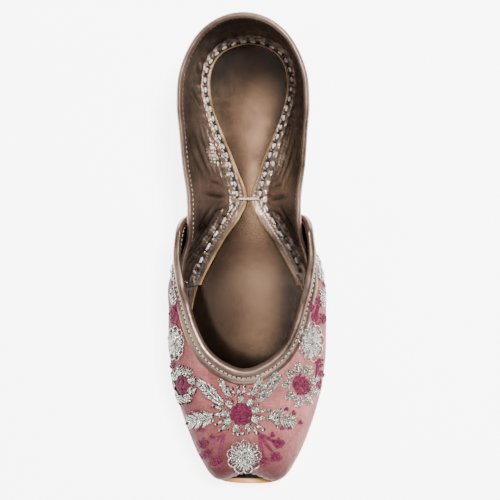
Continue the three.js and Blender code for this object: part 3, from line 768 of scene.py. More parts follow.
def flange_relief(points):
    """Relief and painted shade of the lining by the big stitches: holes, puckers and a crimped row."""
    place = np.stack([abs(points[:, 0]), points[:, 1]], -1)
    thinned = slice(None, None, 3)
    gap = np.hypot(place[:, :1] - FLANGE_PATH[thinned, 0], place[:, 1:] - FLANGE_PATH[thinned, 1])
    nearest = gap.argmin(1)
    gap = gap.min(1)
    along = FLANGE_DISTANCE[thinned][nearest]
    stitch = np.abs(along[:, None] - STITCH_CENTRES).argmin(1)
    beat = np.abs(along - STITCH_CENTRES[stitch])
    pitch = STITCH_PITCHES[stitch]
    hole = np.exp(-(np.hypot(beat - STITCH_LENGTHS[stitch] / 2 - HOLE_PAST_END, gap) / HOLE_REACH) ** 2)
    between = np.exp(-((beat - pitch / 2) / BRIDGE_LENGTH) ** 2) * np.exp(-(gap / BRIDGE_WIDTH) ** 2)
    between = between * (pitch < FRONT_PITCH)
    inside = np.interp(along, FLANGE_DISTANCE, FLANGE_PATH[:, 0]) > place[:, 0]
    crimp = np.where(inside, np.exp(-((gap - CRIMP_PLACE) / CRIMP_WIDTH) ** 2), 0)
    crimp = crimp * (0.5 + 0.5 * np.cos(2 * np.pi * along / CRIMP_PITCH))
    rim = np.where(inside, 0, np.exp(-((gap - PUCKER_PLACE) / PUCKER_WIDTH) ** 2))
    pucker = PUCKER_RISE * np.cos(2 * np.pi * beat / pitch) * rim
    relief = BRIDGE_RISE * between - HOLE_DEPTH * hole - CRIMP_DEPTH * crimp + pucker
    return relief, np.clip(hole + 0.5 * crimp + 0.2 * between, 0, 1)


# The share of the wall's height over which the stitches' relief dies out, how much painted shade a crease's
# trough gets, and how much of a crease shows on the outside
RELIEF_FADE = (0.45, 0.62)
CREASE_SHADE, DARKEST_CREASE = 1.1, 0.7
SHOW_THROUGH = 0.12


def quarter_piece():
    """The long leather band round the heel: foil lining inside, silk outside, cut edges."""
    columns = 620
    places = np.linspace(-QUARTER_END_PLACE, QUARTER_END_PLACE, columns)
    shares = share_rows(0.0, quarter_top(places), flange_rows=20, turn_rows=7, wall_rows=34)
    places = np.broadcast_to(places[:, None], shares.shape)
    normals = last_normal(places, shares)
    outer = last_point(places, shares)
    skived = shares + SKIVE_SHARE * np.clip(1 - shares / TURN_START, 0, 1)
    inner = last_point(places, skived) - last_normal(places, skived) * QUARTER_WALL
    at = LENGTH / 2 - inner[..., 1]
    up = np.where(
        shares < WALL_START,
        (shares / WALL_START - 1) * FOLD_HEIGHT_IN_CREASES,
        wall_share(shares) * WALL_HEIGHT_IN_CREASES,
    )
    fade = smooth_step(0, 0.12, quarter_top(places) - shares)
    creases = crease_relief(at.ravel(), up.ravel(), places.ravel()).reshape(at.shape) * fade
    flat = inner.reshape(-1, 3)
    low = (shares < RELIEF_FADE[1]).ravel()
    holes, shade = np.zeros(len(flat)), np.zeros(len(flat))
    holes[low], shade[low] = flange_relief(flat[low])
    tapered = 1 - smooth_step(*RELIEF_FADE, shares)
    relief = creases + holes.reshape(at.shape) * tapered
    inner = inner - normals * relief[..., None]
    # Painted shade in the stitch holes, the crimped row and the crease troughs
    shade = shade.reshape(at.shape) * tapered + np.clip(-creases * CREASE_SHADE, 0, DARKEST_CREASE)
    outer = outer - normals * (SHOW_THROUGH * creases)[..., None]
    points, faces, kinds = closed_wall(inner, outer)
    shade = np.concatenate([shade.ravel(), np.zeros(shade.size)])
    piece = make_piece("quarter_leather", points, faces, [LINING, SILK, TAN_EDGE], kinds, shade=shade)
    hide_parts("quarter")
    return inner


# The gathers over the toe notch: their pitch, half width and depth, and where they begin and are full
GATHER_PITCH, GATHER_REACH, GATHER_DEPTH = 3.1, 8.5, 0.42
GATHER_START, GATHER_FULL = -96.0, -116.0
UNEVENNESS = 0.2
# How far the gathers draw the silk's edge back, over what half width, and where that begins and is full
NOTCH_PULL, NOTCH_REACH = 2.8, 10.0
PULL_START, PULL_FULL = -108.0, -118.0
# Painted shade inside the notch, on the vamp's lining
NOTCH_SHADE, NOTCH_SHADE_REACH = 0.95, 13.0
NOTCH_SHADE_START, NOTCH_SHADE_FULL = -104.0, -114.0


def vamp_relief(points, shares):
    """Soft folds of the silk: gathers over the toe notch and a gentle unevenness elsewhere, with painted
    shade in the gathers' troughs.
    """
    x, y = points[..., 0], points[..., 1]
    height = wall_share(shares)
    front = smooth_step(GATHER_START, GATHER_FULL, y)
    gathers = np.cos(2 * np.pi * x / GATHER_PITCH) * np.exp(-(x / GATHER_REACH) ** 2)
    gathers = gathers * (1 - smooth_step(0.05, 0.62, height))
    waves = np.sin(x * 0.21 + y * 0.13) * np.sin(y * 0.17 - x * 0.08 + 1.3)
    seam = smooth_step(0, 0.25, height) * smooth_step(1.0, 0.8, height)
    relief = GATHER_DEPTH * front * gathers + UNEVENNESS * waves * seam
    # Painted shade in the gathers' troughs
    return relief, np.clip(-front * gathers, 0, 1) * 0.6


def notch_pull(points, shares):
    """The gathers draw the silk's lower edge back from the middle of the toe."""
    x, y = points[..., 0], points[..., 1]
    pull = NOTCH_PULL * np.exp(-(x / NOTCH_REACH) ** 2) * smooth_step(PULL_START, PULL_FULL, y)
    pull = pull * (1 - smooth_step(0.0, 0.6, wall_share(shares)))
    return points + np.stack([np.zeros_like(pull), pull, np.zeros_like(pull)], -1)


def vamp_piece():
    """The embroidered front: silk outside, foil lining inside, cut edges at the flange and the wings."""
    steps = 560
    first = VAMP_FLANGE_SHARE * TURN_START
    shares = share_rows(first, np.ones(steps), flange_rows=8, turn_rows=7, wall_rows=46)
    start = wing_start(shares)
    share_of_way = np.linspace(0, 1, steps)[:, None]
    places = start + share_of_way * 2 * (TOE_RIB - start)
    normals = last_normal(places, shares)
    outer = vamp_wall(places, shares, VAMP_WALL)
    skived = shares + SKIVE_SHARE * np.clip(1 - shares / TURN_START, 0, 1)
    inner = vamp_wall(places, skived, 0.0)
    relief, shade = vamp_relief(outer, shares)
    outer = notch_pull(outer + normals * relief[..., None], shares)
    points, faces, kinds = closed_wall(notch_pull(inner, shares), outer)
    # Painted shade on the lining inside the toe notch
    gap = smooth_step(NOTCH_SHADE_START, NOTCH_SHADE_FULL, inner[..., 1])
    gap = np.exp(-(inner[..., 0] / NOTCH_SHADE_REACH) ** 2) * gap
    shade = np.concatenate([(NOTCH_SHADE * gap).ravel(), shade.ravel()])
    piece = make_piece("vamp_silk", points, faces, [LINING, SILK, TAN_EDGE], kinds, shade=shade)
    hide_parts("vamp")
    return outer


# Sections of the bindings: how far into the wall from its edge, and how far out of its middle.
# 'near' is the wall's own face; the values are added to it.
RIM_OUTSIDE = (
    (3.4, 0.05), (3.4, 0.32), (3.1, 0.45), (2.3, 0.47), (1.8, 0.32), (1.4, 0.52), (0.6, 0.82), (-0.2, 0.72),
)
RIM_INSIDE = (
    (-0.3, 0.70), (0.5, 0.90), (1.3, 0.66), (1.7, 0.30), (2.0, 0.34), (2.4, 0.30), (2.6, 0.18), (2.6, 0.05),
)
RIM_NOSE = 1.08
COLLAR_OUTSIDE = (
    (7.0, 0.06), (7.0, 0.42), (6.6, 0.66), (5.4, 0.74), (4.2, 0.66), (3.6, 0.30), (3.2, 0.28), (2.9, 0.62),
    (2.2, 1.22), (1.2, 1.52), (0.2, 1.38), (-0.8, 0.80),
)
COLLAR_INSIDE = ((-0.8, 0.30), (0.0, 0.62), (1.2, 0.60), (2.0, 0.44), (2.4, 0.22), (2.4, 0.06))
COLLAR_NOSE = 1.52
# The gap between a wall's edge and the inside of its binding
COVER = 0.12
# Painted shade in the grooves under the stitch rows: the section's corner and how much shade it gets
RIM_GROOVES = {4: 0.45, 14: 0.8, 15: 0.75}
COLLAR_GROOVES = {5: 0.85, 6: 0.85}


def binding_rings(wall_point, places, shares, wall, outside, inside, nose):
    """A binding's section at each point of a wall's edge; its strips follow the wall."""
    near = wall / 2
    section = [(depth, near + out) for depth, out in outside]
    section += [(-nose * 0.86, near * 0.5), (-nose, 0.0), (-nose * 0.86, -near * 0.5)]
    section += [(depth, -near - out) for depth, out in inside]
    section += [(0.0, -near - 0.05), (-COVER, -near * 0.6), (-COVER, near * 0.6), (0.0, near + 0.05)]

    edge = wall_point(places, shares)
    along = unit(np.gradient(edge, axis=0))
    normal = last_normal(places, shares)
    into = unit(np.cross(along, normal))
    place_step, share_step = 0.02, 0.01
    per_place = wall_point(places + place_step, shares) - wall_point(places - place_step, shares)
    per_place = per_place / (2 * place_step)
    per_share = (edge - wall_point(places, shares - share_step)) / share_step

    def dot(first, second):
        return (first * second).sum(-1)

    a, b, c = dot(per_place, per_place), dot(per_place, per_share), dot(per_share, per_share)
    p, q = dot(per_place, into), dot(per_share, into)
    size = a * c - b * b
    go_place, go_share = (c * p - b * q) / size, (a * q - b * p) / size

    rings = []
    for depth, out in section:
        if depth <= 0:
            rings.append(edge + into * depth + normal * out)
            continue
        corner = (places + depth * go_place, shares + depth * go_share)
        rings.append(wall_point(*corner) + last_normal(*corner) * out)
    return np.stack(rings, 1)


def rim_path():
    places = np.linspace(QUARTER_END_PLACE, -QUARTER_END_PLACE, 520)
    return places, quarter_top(places)


def collar_path():
    """Up one wing's rounded back edge, round the collar and down the other wing."""
    start = math.asin((WING_BINDING_FOOT - WING_STRAIGHT) / (1 - WING_STRAIGHT))
    angle = np.linspace(start, math.pi / 2, 60)
    wing_places = WING_PLACE + WING_ROUND_PLACES * (1 - np.cos(angle))
    wing_shares = WALL_START + (1 - WALL_START) * (WING_STRAIGHT + (1 - WING_STRAIGHT) * np.sin(angle))
    begin = wing_places[-1]
    collar = np.linspace(begin, 2 * TOE_RIB - begin, 560)[1:-1]
    places = np.concatenate([wing_places, collar, 2 * TOE_RIB - wing_places[::-1]])
    shares = np.concatenate([wing_shares, np.ones(len(collar)), wing_shares[::-1]])
    return -places, shares


def binding_piece(name, node, path, wall_point, wall, outside, inside, nose, grooves):
    places, shares = path
    rings = binding_rings(wall_point, places, shares, wall, outside, inside, nose)
    points, faces = swept(rings)
    # Painted shade along the grooves under the stitch rows
    shade = np.zeros(rings.shape[:2])
    for corner, value in grooves.items():
        shade[:, corner] = value
    piece = make_piece(name, points, faces, [PIPING], sharp=60.0, shade=shade.ravel())
    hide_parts(node)
    return rings, last_normal(places, shares)


def quarter_middle(place, share):
    return quarter_wall(place, share, -QUARTER_WALL / 2)


def vamp_middle(place, share):
    return vamp_wall(place, share, VAMP_WALL / 2)


def plate(
    name, inset, bottom, top, rounding, last_place, materials,
    across=16, cup=0.0, shade_of=None, toe_inset=0.0,
):
    """A plate over the sole's outline with rounded edges; it ends square if it stops before the toe."""
    places = np.linspace(0, last_place, 260)
    sole, out = plan_point(places, "sole_at", "sole"), outward(places)
    turn = np.linspace(0, np.pi / 2, 4)
    drawn_in = inset + toe_inset * toe_notch(places) / TOE_NOTCH_DEPTH
    rings = []

    def edge_points(side, depth, level_of):
        flat = sole - out * (drawn_in + depth)[:, None]
        flat[:, 0] = np.maximum(flat[:, 0], 0) * side
        return np.concatenate([flat, level_of(flat[:, 1])[:, None]], 1)

    def fan(shares, level_of, dip):
        flat = edge_points(1, rounding, level_of)
        for share in shares:
            sunk = dip * (1 - share ** 2)
            rings.append(np.stack([flat[:, 0] * share, flat[:, 1], flat[:, 2] - sunk], 1))

    def rounded_edge(side, level_of, way, angles):
        for angle in angles:
            shift = way * rounding * (1 - np.cos(angle))
            rings.append(edge_points(side, rounding * (1 - np.sin(angle)), lambda y: level_of(y) + shift))

    going, coming = turn[1:], turn[::-1][:-1]
    fan(np.linspace(-1, 1, across), top, cup)
    rounded_edge(1, top, -1, going)
    rounded_edge(1, bottom, 1, coming)
    fan(np.linspace(1, -1, 6), bottom, 0.0)
    rounded_edge(-1, bottom, 1, going)
    rounded_edge(-1, top, -1, coming)

    grid = np.stack(rings, 1)
    index, faces = tube(*grid.shape[:2])
    if last_place < TOE_RIB:
        faces.append(index[-1].tolist())
    points = grid.reshape(-1, 3)
    shade = None if shade_of is None else shade_of(points)
    return make_piece(name, points, faces, materials, merged=True, sharp=60.0, shade=shade)


# The sock's painted shade: how dark each part gets, and where that begins and is full, across in shares of
# the open half width and along the shoe in millimetres
SOCK_RIGHT, SOCK_LEFT = (0.88, 0.3, 0.95), (0.72, -0.1, 0.95)
SOCK_HEEL, SOCK_TOE, SOCK_TREAD = (0.9, 76.0, 104.0), (0.97, -38.0, -72.0), (0.4, 30.0, -8.0)
SOCK_LEAST_HALF, SOCK_MOST_HALF = 8.0, 24.0
# How far inside the sole's outline the painted shade begins and is full
SOCK_EDGE = (1.2, 2.2)


def insole_shade(points):
    """Painted shade on the sock: darker at its sides, the right most, and at the heel, the tread and the toe;
    its cut edge stays unshaded.
    """
    def light(zone, value):
        most, start, full = zone
        return 1 - most * smooth_step(start, full, value)

    x, y = points[:, 0], points[:, 1]
    open_half = np.interp(-y, -FLANGE_PATH[:, 1], FLANGE_PATH[:, 0])
    across = x / np.clip(open_half, SOCK_LEAST_HALF, SOCK_MOST_HALF)
    shade = 1 - light(SOCK_RIGHT, across) * light(SOCK_LEFT, -across) * math.prod(
        light(zone, y) for zone in (SOCK_HEEL, SOCK_TOE, SOCK_TREAD)
    )
    outline = plan_point(np.linspace(0, TOE_RIB, 400), "sole_at", "sole")
    to_edge = np.interp(-y, -outline[:, 1], outline[:, 0]) - abs(x)
    return shade * smooth_step(*SOCK_EDGE, to_edge)


# Painted shade in the gap under the gathered vamp: where it begins and is full, from the tip, from the back
# and sideways
GAP_FRONT, GAP_BACK, GAP_SIDE = (-122.6, -122.0), (-112.0, -116.0), (15.0, 11.0)


def notch_shade(points):
    """Painted shade in the gap where the gathered vamp leaves the sole's tip."""
    x, y = points[:, 0], points[:, 1]
    behind = smooth_step(*GAP_FRONT, y) * smooth_step(*GAP_BACK, y)
    return behind * smooth_step(*GAP_SIDE, abs(x))


def sole_pieces():
    def insole_bottom(y):
        return sole_top(y) + CLEARANCE

    def floor_level(y):
        return np.zeros(len(y))

    def lift_top(y):
        return np.full(len(y), LIFT_HEIGHT)

    insole = plate(
        "insole_leather", INSOLE_INSET, insole_bottom, insole_top, rounding=0.45, last_place=TOE_RIB,
        materials=[INSOLE], across=28, cup=1.2, toe_inset=3.0, shade_of=insole_shade,
    )
    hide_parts("insole")
    outsole = plate(
        "outsole_leather", 0.0, sole_bottom, sole_top, rounding=0.7, last_place=TOE_RIB,
        materials=[TAN], across=40, shade_of=notch_shade,
    )
    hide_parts("outsole")
    lift = plate(
        "heel_lift_leather", LIFT_INSET, floor_level, lift_top, rounding=0.6,
        last_place=place_at(LIFT_LENGTH), materials=[TAN],
    )
    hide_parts("heel_lift")


# The waist tie's strands: their radius as a share of the cord's, and how often they twist
STRAND_SHARE, TWISTS = 0.68, 4


def waist_tie():
    """Two twisted strands of cotton that draw the flanges together."""
    low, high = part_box("waist_tie")
    low, high = np.array(low) / MM, np.array(high) / MM
    radius = (high[1] - low[1]) / 2
    strand = radius * STRAND_SHARE
    t = np.linspace(0, 1, 90)
    middle = (low[1] + high[1]) / 2
    rise = (high[2] - low[2]) - 2 * radius
    level = low[2] + radius + rise * np.sin(np.pi * t)
    centre = np.stack([low[0] + (high[0] - low[0]) * t, np.full(len(t), middle), level], 1)
    threads = Threads()
    up = np.broadcast_to((0.0, 0.0, 1.0), centre.shape)
    for turn in (0.0, np.pi):
        angle = turn + t * 2 * np.pi * TWISTS
        offset = np.stack([np.zeros(len(t)), np.cos(angle), np.sin(angle)], 1) * (radius - strand)
        threads.rod(centre + offset, up, np.full(len(t), strand), 8)
    piece = threads.build("waist_tie_thread", COTTON, "white_cotton")
    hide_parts("waist_tie")


def surface_tree(grid):
    """A grid of points as a surface that rays can be cast at."""
    faces = quads(numbered(*grid.shape[:2])).tolist()
    return BVHTree.FromPolygons(grid.reshape(-1, 3).tolist(), faces)


# The corners of the bindings' sections that the fine rows lie on, and how high the collar's row lies
NOSE_CORNERS = 3
COLLAR_LINING_CORNER = len(COLLAR_OUTSIDE) + NOSE_CORNERS + 3
RIM_LINING_CORNER = len(RIM_OUTSIDE) + NOSE_CORNERS + 4
RIM_OUTER_CORNER = 3
COLLAR_ROW_LIFT = 0.15
# The rows at the quarter's front ends: how far from the end in ribs, from the top and from the raw edge in
# the last's shares, and how high they lie
END_INSET, END_TOP, END_FOOT, END_LIFT = 0.17, 0.06, 0.3, 0.02
# The fine rows of stitches: pitch, length and radius
COLLAR_ROW, COLLAR_LINING_ROW = (2.5, 1.6, 0.33), (2.4, 1.6, 0.26)
RIM_ROW, RIM_OUTER_ROW, END_ROW = (2.5, 1.6, 0.32), (2.4, 1.6, 0.24), (2.5, 1.6, 0.3)


def stitches(lining_tree, rim_rings, rim_normals, collar_rings, collar_normals):
    """The big white stitches of the flange and the fine rows along both bindings."""
    big = Threads()
    for side in (1, -1):
        spots, aways, passed = [], [], []
        for (half, y), distance in zip(FLANGE_PATH, FLANGE_DISTANCE):
            hit, normal, _, _ = lining_tree.ray_cast(Vector((side * half, y, 80.0)), Vector((0, 0, -1)))
            if hit is None:
                continue
            normal = np.array(normal)
            spots.append(np.array(hit))
            aways.append(normal if normal[2] > 0 else -normal)
            passed.append(distance)
        rows = np.array(spots), np.array(aways), STITCH_CENTRES, STITCH_LENGTHS
        stitch_row(big, *rows, STITCH_RADIUS, 8, passed)
    big.build("flange_stitches", COTTON, "white_cotton")

    fine = Threads()
    first, second = COLLAR_GROOVES
    groove = (collar_rings[:, first] + collar_rings[:, second]) / 2
    even_row(fine, groove + collar_normals * COLLAR_ROW_LIFT, collar_normals, *COLLAR_ROW)
    even_row(fine, collar_rings[:, COLLAR_LINING_CORNER], -collar_normals, *COLLAR_LINING_ROW)
    even_row(fine, rim_rings[:, RIM_LINING_CORNER], -rim_normals, *RIM_ROW)
    even_row(fine, rim_rings[:, RIM_OUTER_CORNER], rim_normals, *RIM_OUTER_ROW)
    for side in (1, -1):
        end = side * (QUARTER_END_PLACE - END_INSET)
        shares = np.linspace(quarter_top(np.array(end)) - END_TOP, END_FOOT, 120)
        places = np.full(len(shares), end)
        away = -last_normal(places, shares)
        path = last_point(places, shares) + away * (QUARTER_WALL + END_LIFT)
        even_row(fine, path, away, *END_ROW)
    fine.build("fine_stitches", TAN_THREAD, "white_cotton")


# The embroidery's places are in the photograph's pixels, and its camera casts them on to the vamp.
EYE = np.array((47.45, 3.1, 600.0))
PHOTO_MIDDLE = 250.0
FLOOR_MM_PER_PIXEL = 0.532
VAMP_MIDDLE_PIXEL = np.array((160.0, 425.0))
# Radii of the wires, threads and beads, in millimetres
BARREL_WIRE, BUGLE_WIRE, LOOP_WIRE, LEAF_WIRE, STROKE_WIRE, RIB_WIRE = 0.46, 0.54, 0.44, 0.42, 0.4, 0.36
STEM_THREAD, CORAL_THREAD = 0.44, 0.45
LEAF_BEAD, SIDE_BEAD, PETAL_BEAD, RING_BEAD, CENTRE_BEAD, TIP_BEAD = 0.62, 0.7, 0.8, 0.85, 0.95, 1.1


def heading(angle):
    """The way in the picture that an angle points in."""
    return np.array((math.cos(angle), math.sin(angle)))


def square_to(way):
    return np.array((-way[1], way[0]))


class Embroidery:
    """Threads sewn on the vamp: every point is cast from the photograph's camera."""

    def __init__(self, outer):
        self.tree = surface_tree(outer)
        self.random = np.random.default_rng(11)
        self.silver, self.magenta, self.coral = Threads(), Threads(), Threads()

    def spot(self, pixel):
        """The vamp's point and normal behind a pixel; one just outside it moves in."""
        pixel = np.array(pixel, float)
        for _ in range(40):
            floor = np.array((
                EYE[0] + (pixel[0] - PHOTO_MIDDLE) * FLOOR_MM_PER_PIXEL,
                EYE[1] - (pixel[1] - PHOTO_MIDDLE) * FLOOR_MM_PER_PIXEL,
                0.0,
            ))
            hit, normal, _, _ = self.tree.ray_cast(Vector(EYE), Vector(floor - EYE))
            if hit is not None:
                normal = np.array(normal)
                facing = normal @ (EYE - np.array(hit))
                return np.array(hit), normal if facing > 0 else -normal
            pixel += unit(VAMP_MIDDLE_PIXEL - pixel)
        raise ValueError(f"no silk behind pixel {pixel}")

    def sewn(self, threads, pixels, radius, lift=0.5, arch=0.0):
        """A thread over the silk through these pixels; arch raises its middle."""
        spots = [self.spot(pixel) for pixel in pixels]
        points, normals = (np.array(values) for values in zip(*spots))
        t = np.linspace(-1, 1, len(points))
        height = radius * lift + arch * np.sqrt(np.maximum(1 - t * t, 0))
        taper = 0.55 + 0.45 * np.sqrt(np.maximum(1 - t ** 6, 0))
        threads.rod(points + normals * height[:, None], normals, radius * taper, sides=5)

    def line(self, threads, start, end, radius, arch=0.0, bend=0.0, count=5, lift=0.5):
        """A straight or slightly bent stitch between two pixels."""
        start, end = np.array(start, float), np.array(end, float)
        across = square_to(end - start)
        t = np.linspace(0, 1, count)[:, None]
        pixels = start + (end - start) * t + across * bend * np.sin(np.pi * t)
        self.sewn(threads, pixels, radius, lift, arch)

    def bead(self, threads, pixel, radius):
        """A round bead that sits in the silk."""
        point, normal = self.spot(pixel)
        t = np.linspace(-1, 1, 7)
        path = point + normal * (radius * (0.55 + t[:, None] * 0.98))
        sideways = unit(np.cross(normal, (0.3, 1.0, 0.2)))
        round_radii = radius * np.sqrt(1 - (t * 0.96) ** 2)
        threads.rod(path, np.broadcast_to(sideways, path.shape), round_radii, sides=8)

    def knot(self, threads, pixel, size=1.0):
        """A French knot: a tight loop of thread with its end through the middle."""
        point, normal = self.spot(pixel)
        first = unit(np.cross(normal, (0.2, 1.0, 0.1)))
        second = np.cross(normal, first)
        turn = self.random.uniform(0, 2 * np.pi)
        angle = turn + np.linspace(0, 2.35 * np.pi, 10)
        radius = size * np.linspace(0.58, 0.14, 10)
        rise = size * np.linspace(0.15, 0.7, 10)
        tilt = self.random.uniform(-0.25, 0.25)
        path = point + radius[:, None] * (np.cos(angle)[:, None] * first + np.sin(angle)[:, None] * second)
        lift = self.random.uniform(0.0, 0.45)
        path = path + normal * (lift + rise + tilt * radius * np.cos(angle))[:, None]
        threads.rod(path, np.broadcast_to(normal, path.shape), 0.29 * size, 5)

    def knots(self, centre, half_width, half_height, size=1.2, spacing=2.8):
        """An oval filled with magenta French knots."""
        for row, y in enumerate(np.arange(-half_height, half_height + 0.1, spacing * 0.87)):
            for x in np.arange(-half_width, half_width + 0.1, spacing) + (row % 2) * spacing / 2:
                if (x / half_width) ** 2 + (y / half_height) ** 2 > 1.02:
                    continue
                shift = self.random.uniform(-0.5, 0.5, 2)
                self.knot(self.magenta, (centre[0] + x + shift[0], centre[1] + y + shift[1]), size)

    def barrel(self, centre, degrees):
        """Short silver wires side by side over padding, like a small barrel."""
        wires = 5
        way = heading(math.radians(degrees))
        across = square_to(way)
        for k in range(wires):
            share = (k + 0.5) / wires * 2 - 1
            middle = centre + way * share * BARREL_LENGTH / 2
            half = across * BARREL_WIDTH / 2 * (1 - 0.25 * share ** 2)
            self.line(self.silver, middle - half, middle + half, BARREL_WIRE, arch=1.3, count=8)

    def leaf(self, base, tip, width, wires=13, spikes=0, arch=0.45):
        """A silver leaf: slanting wires on both sides of a rib, with long strokes at the tip."""
        base, tip = np.array(base, float), np.array(tip, float)
        way = tip - base
        length = np.linalg.norm(way)
        across = square_to(way) / length * width / 2
        for k in range(wires):
            t = (k + 0.3) / wires
            half = math.sin(math.pi * min(0.16 + 0.84 * t, 1.0)) ** 0.6
            for side in (1, -1):
                jitter = self.random.uniform(0.75, 1.2)
                reach = min(t + self.random.uniform(0.12, 0.34), 1.08)
                root = base + way * max(t - 0.04, 0)
                end = base + way * reach + across * side * half * jitter
                lift = self.random.uniform(0.4, 1.5)
                self.line(self.silver, root, end, LEAF_WIRE, arch * jitter, 0.12 * side, 5, lift)
                if k % 3 == 0:
                    self.bead(self.silver, end, LEAF_BEAD)
        for k in range(spikes):
            lean = (k / max(spikes - 1, 1) * 2 - 1) * 0.5
            root = base + way * 0.72
            end = tip + way * 0.12 * (1 - abs(lean)) + across * lean * 1.6
            self.line(self.silver, root, end, STROKE_WIRE, arch=0.3)
        self.line(self.silver, base, base + way * 0.96, RIB_WIRE, arch=0.5, count=8, lift=1.6)

    def petals(self, centre, inner, outer, count, width, start=0.0):
        """Silver petals round an oval, from its edge outwards."""
        for k in range(count):
            way = heading(start + k * 2 * math.pi / count)
            root, tip = centre + way * inner, centre + way * outer
            self.leaf(root, tip, width, wires=4, arch=0.5)
            self.bead(self.silver, tip + way * 0.6, PETAL_BEAD)
            side = square_to(way) * width * 0.55
            self.bead(self.silver, (root + tip) / 2 + side, SIDE_BEAD)

    def scallops(self, centre, half_width, half_height):
        """A silver flower of looped wire in three rounds with beads in the middle."""
        for share, count in ((0.84, 9), (0.52, 7), (0.24, 4)):
            loop = min(half_width, half_height) * share * math.sin(math.pi / count) * 1.15
            for k in range(count):
                angle = (k + share) * 2 * math.pi / count
                middle = centre + heading(angle) * (half_width * share, half_height * share)
                t = np.linspace(0, 2 * np.pi, 12)
                squeeze = half_height / half_width if half_height > half_width else 1.0
                ring = np.stack([np.cos(t + angle), np.sin(t + angle) * squeeze], 1) * loop
                self.sewn(self.silver, middle + ring, LOOP_WIRE, 0.9, 0.2)
                inward = centre - middle
                for spread in (-0.16, 0.16):
                    across = square_to(inward) * spread
                    start, end = middle - inward * 0.14 + across, middle + inward * 0.55
                    self.line(self.silver, start, end, STROKE_WIRE, arch=0.6)
                self.bead(self.silver, middle + self.random.uniform(-0.5, 0.5, 2), SIDE_BEAD)
        for k in range(5):
            self.bead(self.silver, centre + 2.2 * heading(k * 2 * math.pi / 5), PETAL_BEAD)
        self.bead(self.silver, centre, CENTRE_BEAD)


CENTRE_FLOWER = (151.5, 421.0)
CENTRE_RADIUS = 11.6
BARREL_RADIUS = 15.6
BARREL_LENGTH, BARREL_WIDTH = 7.6, 8.6
BARREL_DEGREES = (-90, -50, -15, 20, 60, 110, 150, 180, -140)
CORAL_THREADS = (
    (143.3, 406.4), (155.0, 405.2), (164.7, 410.9), (134.4, 412.6), (131.0, 425.5), (142.5, 436.5),
    (152.8, 437.5), (161.0, 434.5), (168.0, 432.0), (169.5, 421.5), (138.0, 403.5), (160.5, 404.5),
)
BUGLE_TIPS = (
    (142.0, 395.0), (155.0, 392.3), (162.0, 395.6), (136.0, 397.8), (123.0, 413.0), (122.0, 422.0),
    (181.0, 416.7), (180.0, 426.0), (168.5, 440.6), (175.0, 437.0), (130.0, 438.4), (148.5, 442.2),
    (153.5, 441.8), (126.0, 432.0), (148.5, 393.0),
)
# Silver leaves: base, tip, width, wires and long strokes at the tip
LEAVES = (
    ((132.5, 411.5), (108.0, 388.6), 11.0, 14, 5),
    ((169.0, 408.2), (189.5, 381.0), 11.0, 14, 5),
    ((122.5, 424.5), (97.0, 431.0), 17.0, 13, 3),
    ((181.0, 420.5), (206.0, 429.5), 19.0, 13, 3),
    ((139.5, 404.0), (130.5, 386.5), 6.0, 8, 3),
    ((163.0, 402.0), (172.0, 385.0), 6.0, 8, 3),
)
LEAF_KNOTS = (
    (99.4, 421.3), (103.7, 420.2), (95.6, 432.1), (107.0, 438.6), (110.8, 438.6),
    (198.6, 415.8), (206.2, 419.6), (213.2, 429.4), (194.3, 435.4), (201.9, 434.8),
)
# Magenta ovals with silver petals: centre, half sizes, and how far the petals reach
SIDE_FLOWERS = (
    ((90.2, 392.0), (6.0, 9.8), (13.5, 19.5)),
    ((213.6, 390.4), (8.7, 10.8), (18.0, 22.0)),
)
# Silver flowers of looped wire: centre and half sizes
WIRE_FLOWERS = (
    ((224.0, 345.6), (11.0, 18.3)),
    ((82.6, 348.2), (7.8, 15.7)),
    ((154.8, 466.0), (16.0, 15.0)),
)
# Magenta clusters: centre and half sizes
CLUSTERS = (
    ((223.8, 309.0), (3.4, 6.6)), ((231.5, 303.7), (3.0, 5.6)), ((236.5, 321.0), (3.4, 6.0)),
    ((229.5, 318.5), (2.4, 4.6)), ((80.4, 317.5), (3.6, 9.0)), ((85.4, 309.0), (2.4, 4.4)),
    ((232.8, 367.0), (3.4, 4.6)), ((235.4, 378.3), (3.0, 4.0)), ((233.0, 389.0), (2.4, 4.4)),
    ((79.4, 371.5), (2.4, 4.2)), ((79.0, 382.0), (2.2, 3.6)), ((79.6, 391.0), (2.2, 3.4)),
    ((111.5, 453.0), (5.2, 4.8)), ((114.7, 464.4), (5.0, 4.8)), ((125.5, 472.7), (6.5, 5.2)),
    ((191.8, 451.7), (5.6, 5.0)), ((188.0, 465.7), (6.0, 5.2)), ((174.6, 469.9), (6.0, 5.0)),
    ((121.0, 445.5), (2.6, 2.0)), ((184.0, 443.0), (2.4, 2.0)),
    ((237.0, 285.4), (1.8, 3.2)), ((79.6, 285.4), (1.6, 3.2)),
)
# Magenta stems, each from its foot to its cluster
STEMS = (
    ((228.4, 330.6), (224.4, 315.0)), ((228.4, 330.6), (231.0, 309.0)), ((228.4, 330.6), (235.0, 324.5)),
    ((81.5, 331.5), (80.6, 325.0)), ((81.5, 331.5), (85.0, 313.0)),
    ((229.0, 383.5), (232.0, 370.0)), ((229.0, 383.5), (234.5, 379.0)), ((229.0, 383.5), (232.5, 387.0)),
    ((134.4, 443.4), (116.0, 452.0)), ((134.4, 443.4), (118.5, 460.5)), ((134.4, 443.4), (128.3, 467.5)),
    ((170.2, 440.8), (186.9, 450.0)), ((170.2, 440.8), (184.5, 460.8)), ((170.2, 440.8), (175.2, 465.0)),
)
# Small silver leaves along the wings, from the flowers up to the collar's ends: base and tip
WING_LEAVES = (
    ((236.5, 309.0), (235.0, 292.0)), ((234.5, 282.0), (233.5, 268.0)), ((233.0, 270.0), (230.5, 255.5)),
    ((81.0, 308.0), (80.5, 291.0)), ((80.5, 281.0), (81.0, 267.0)),
)


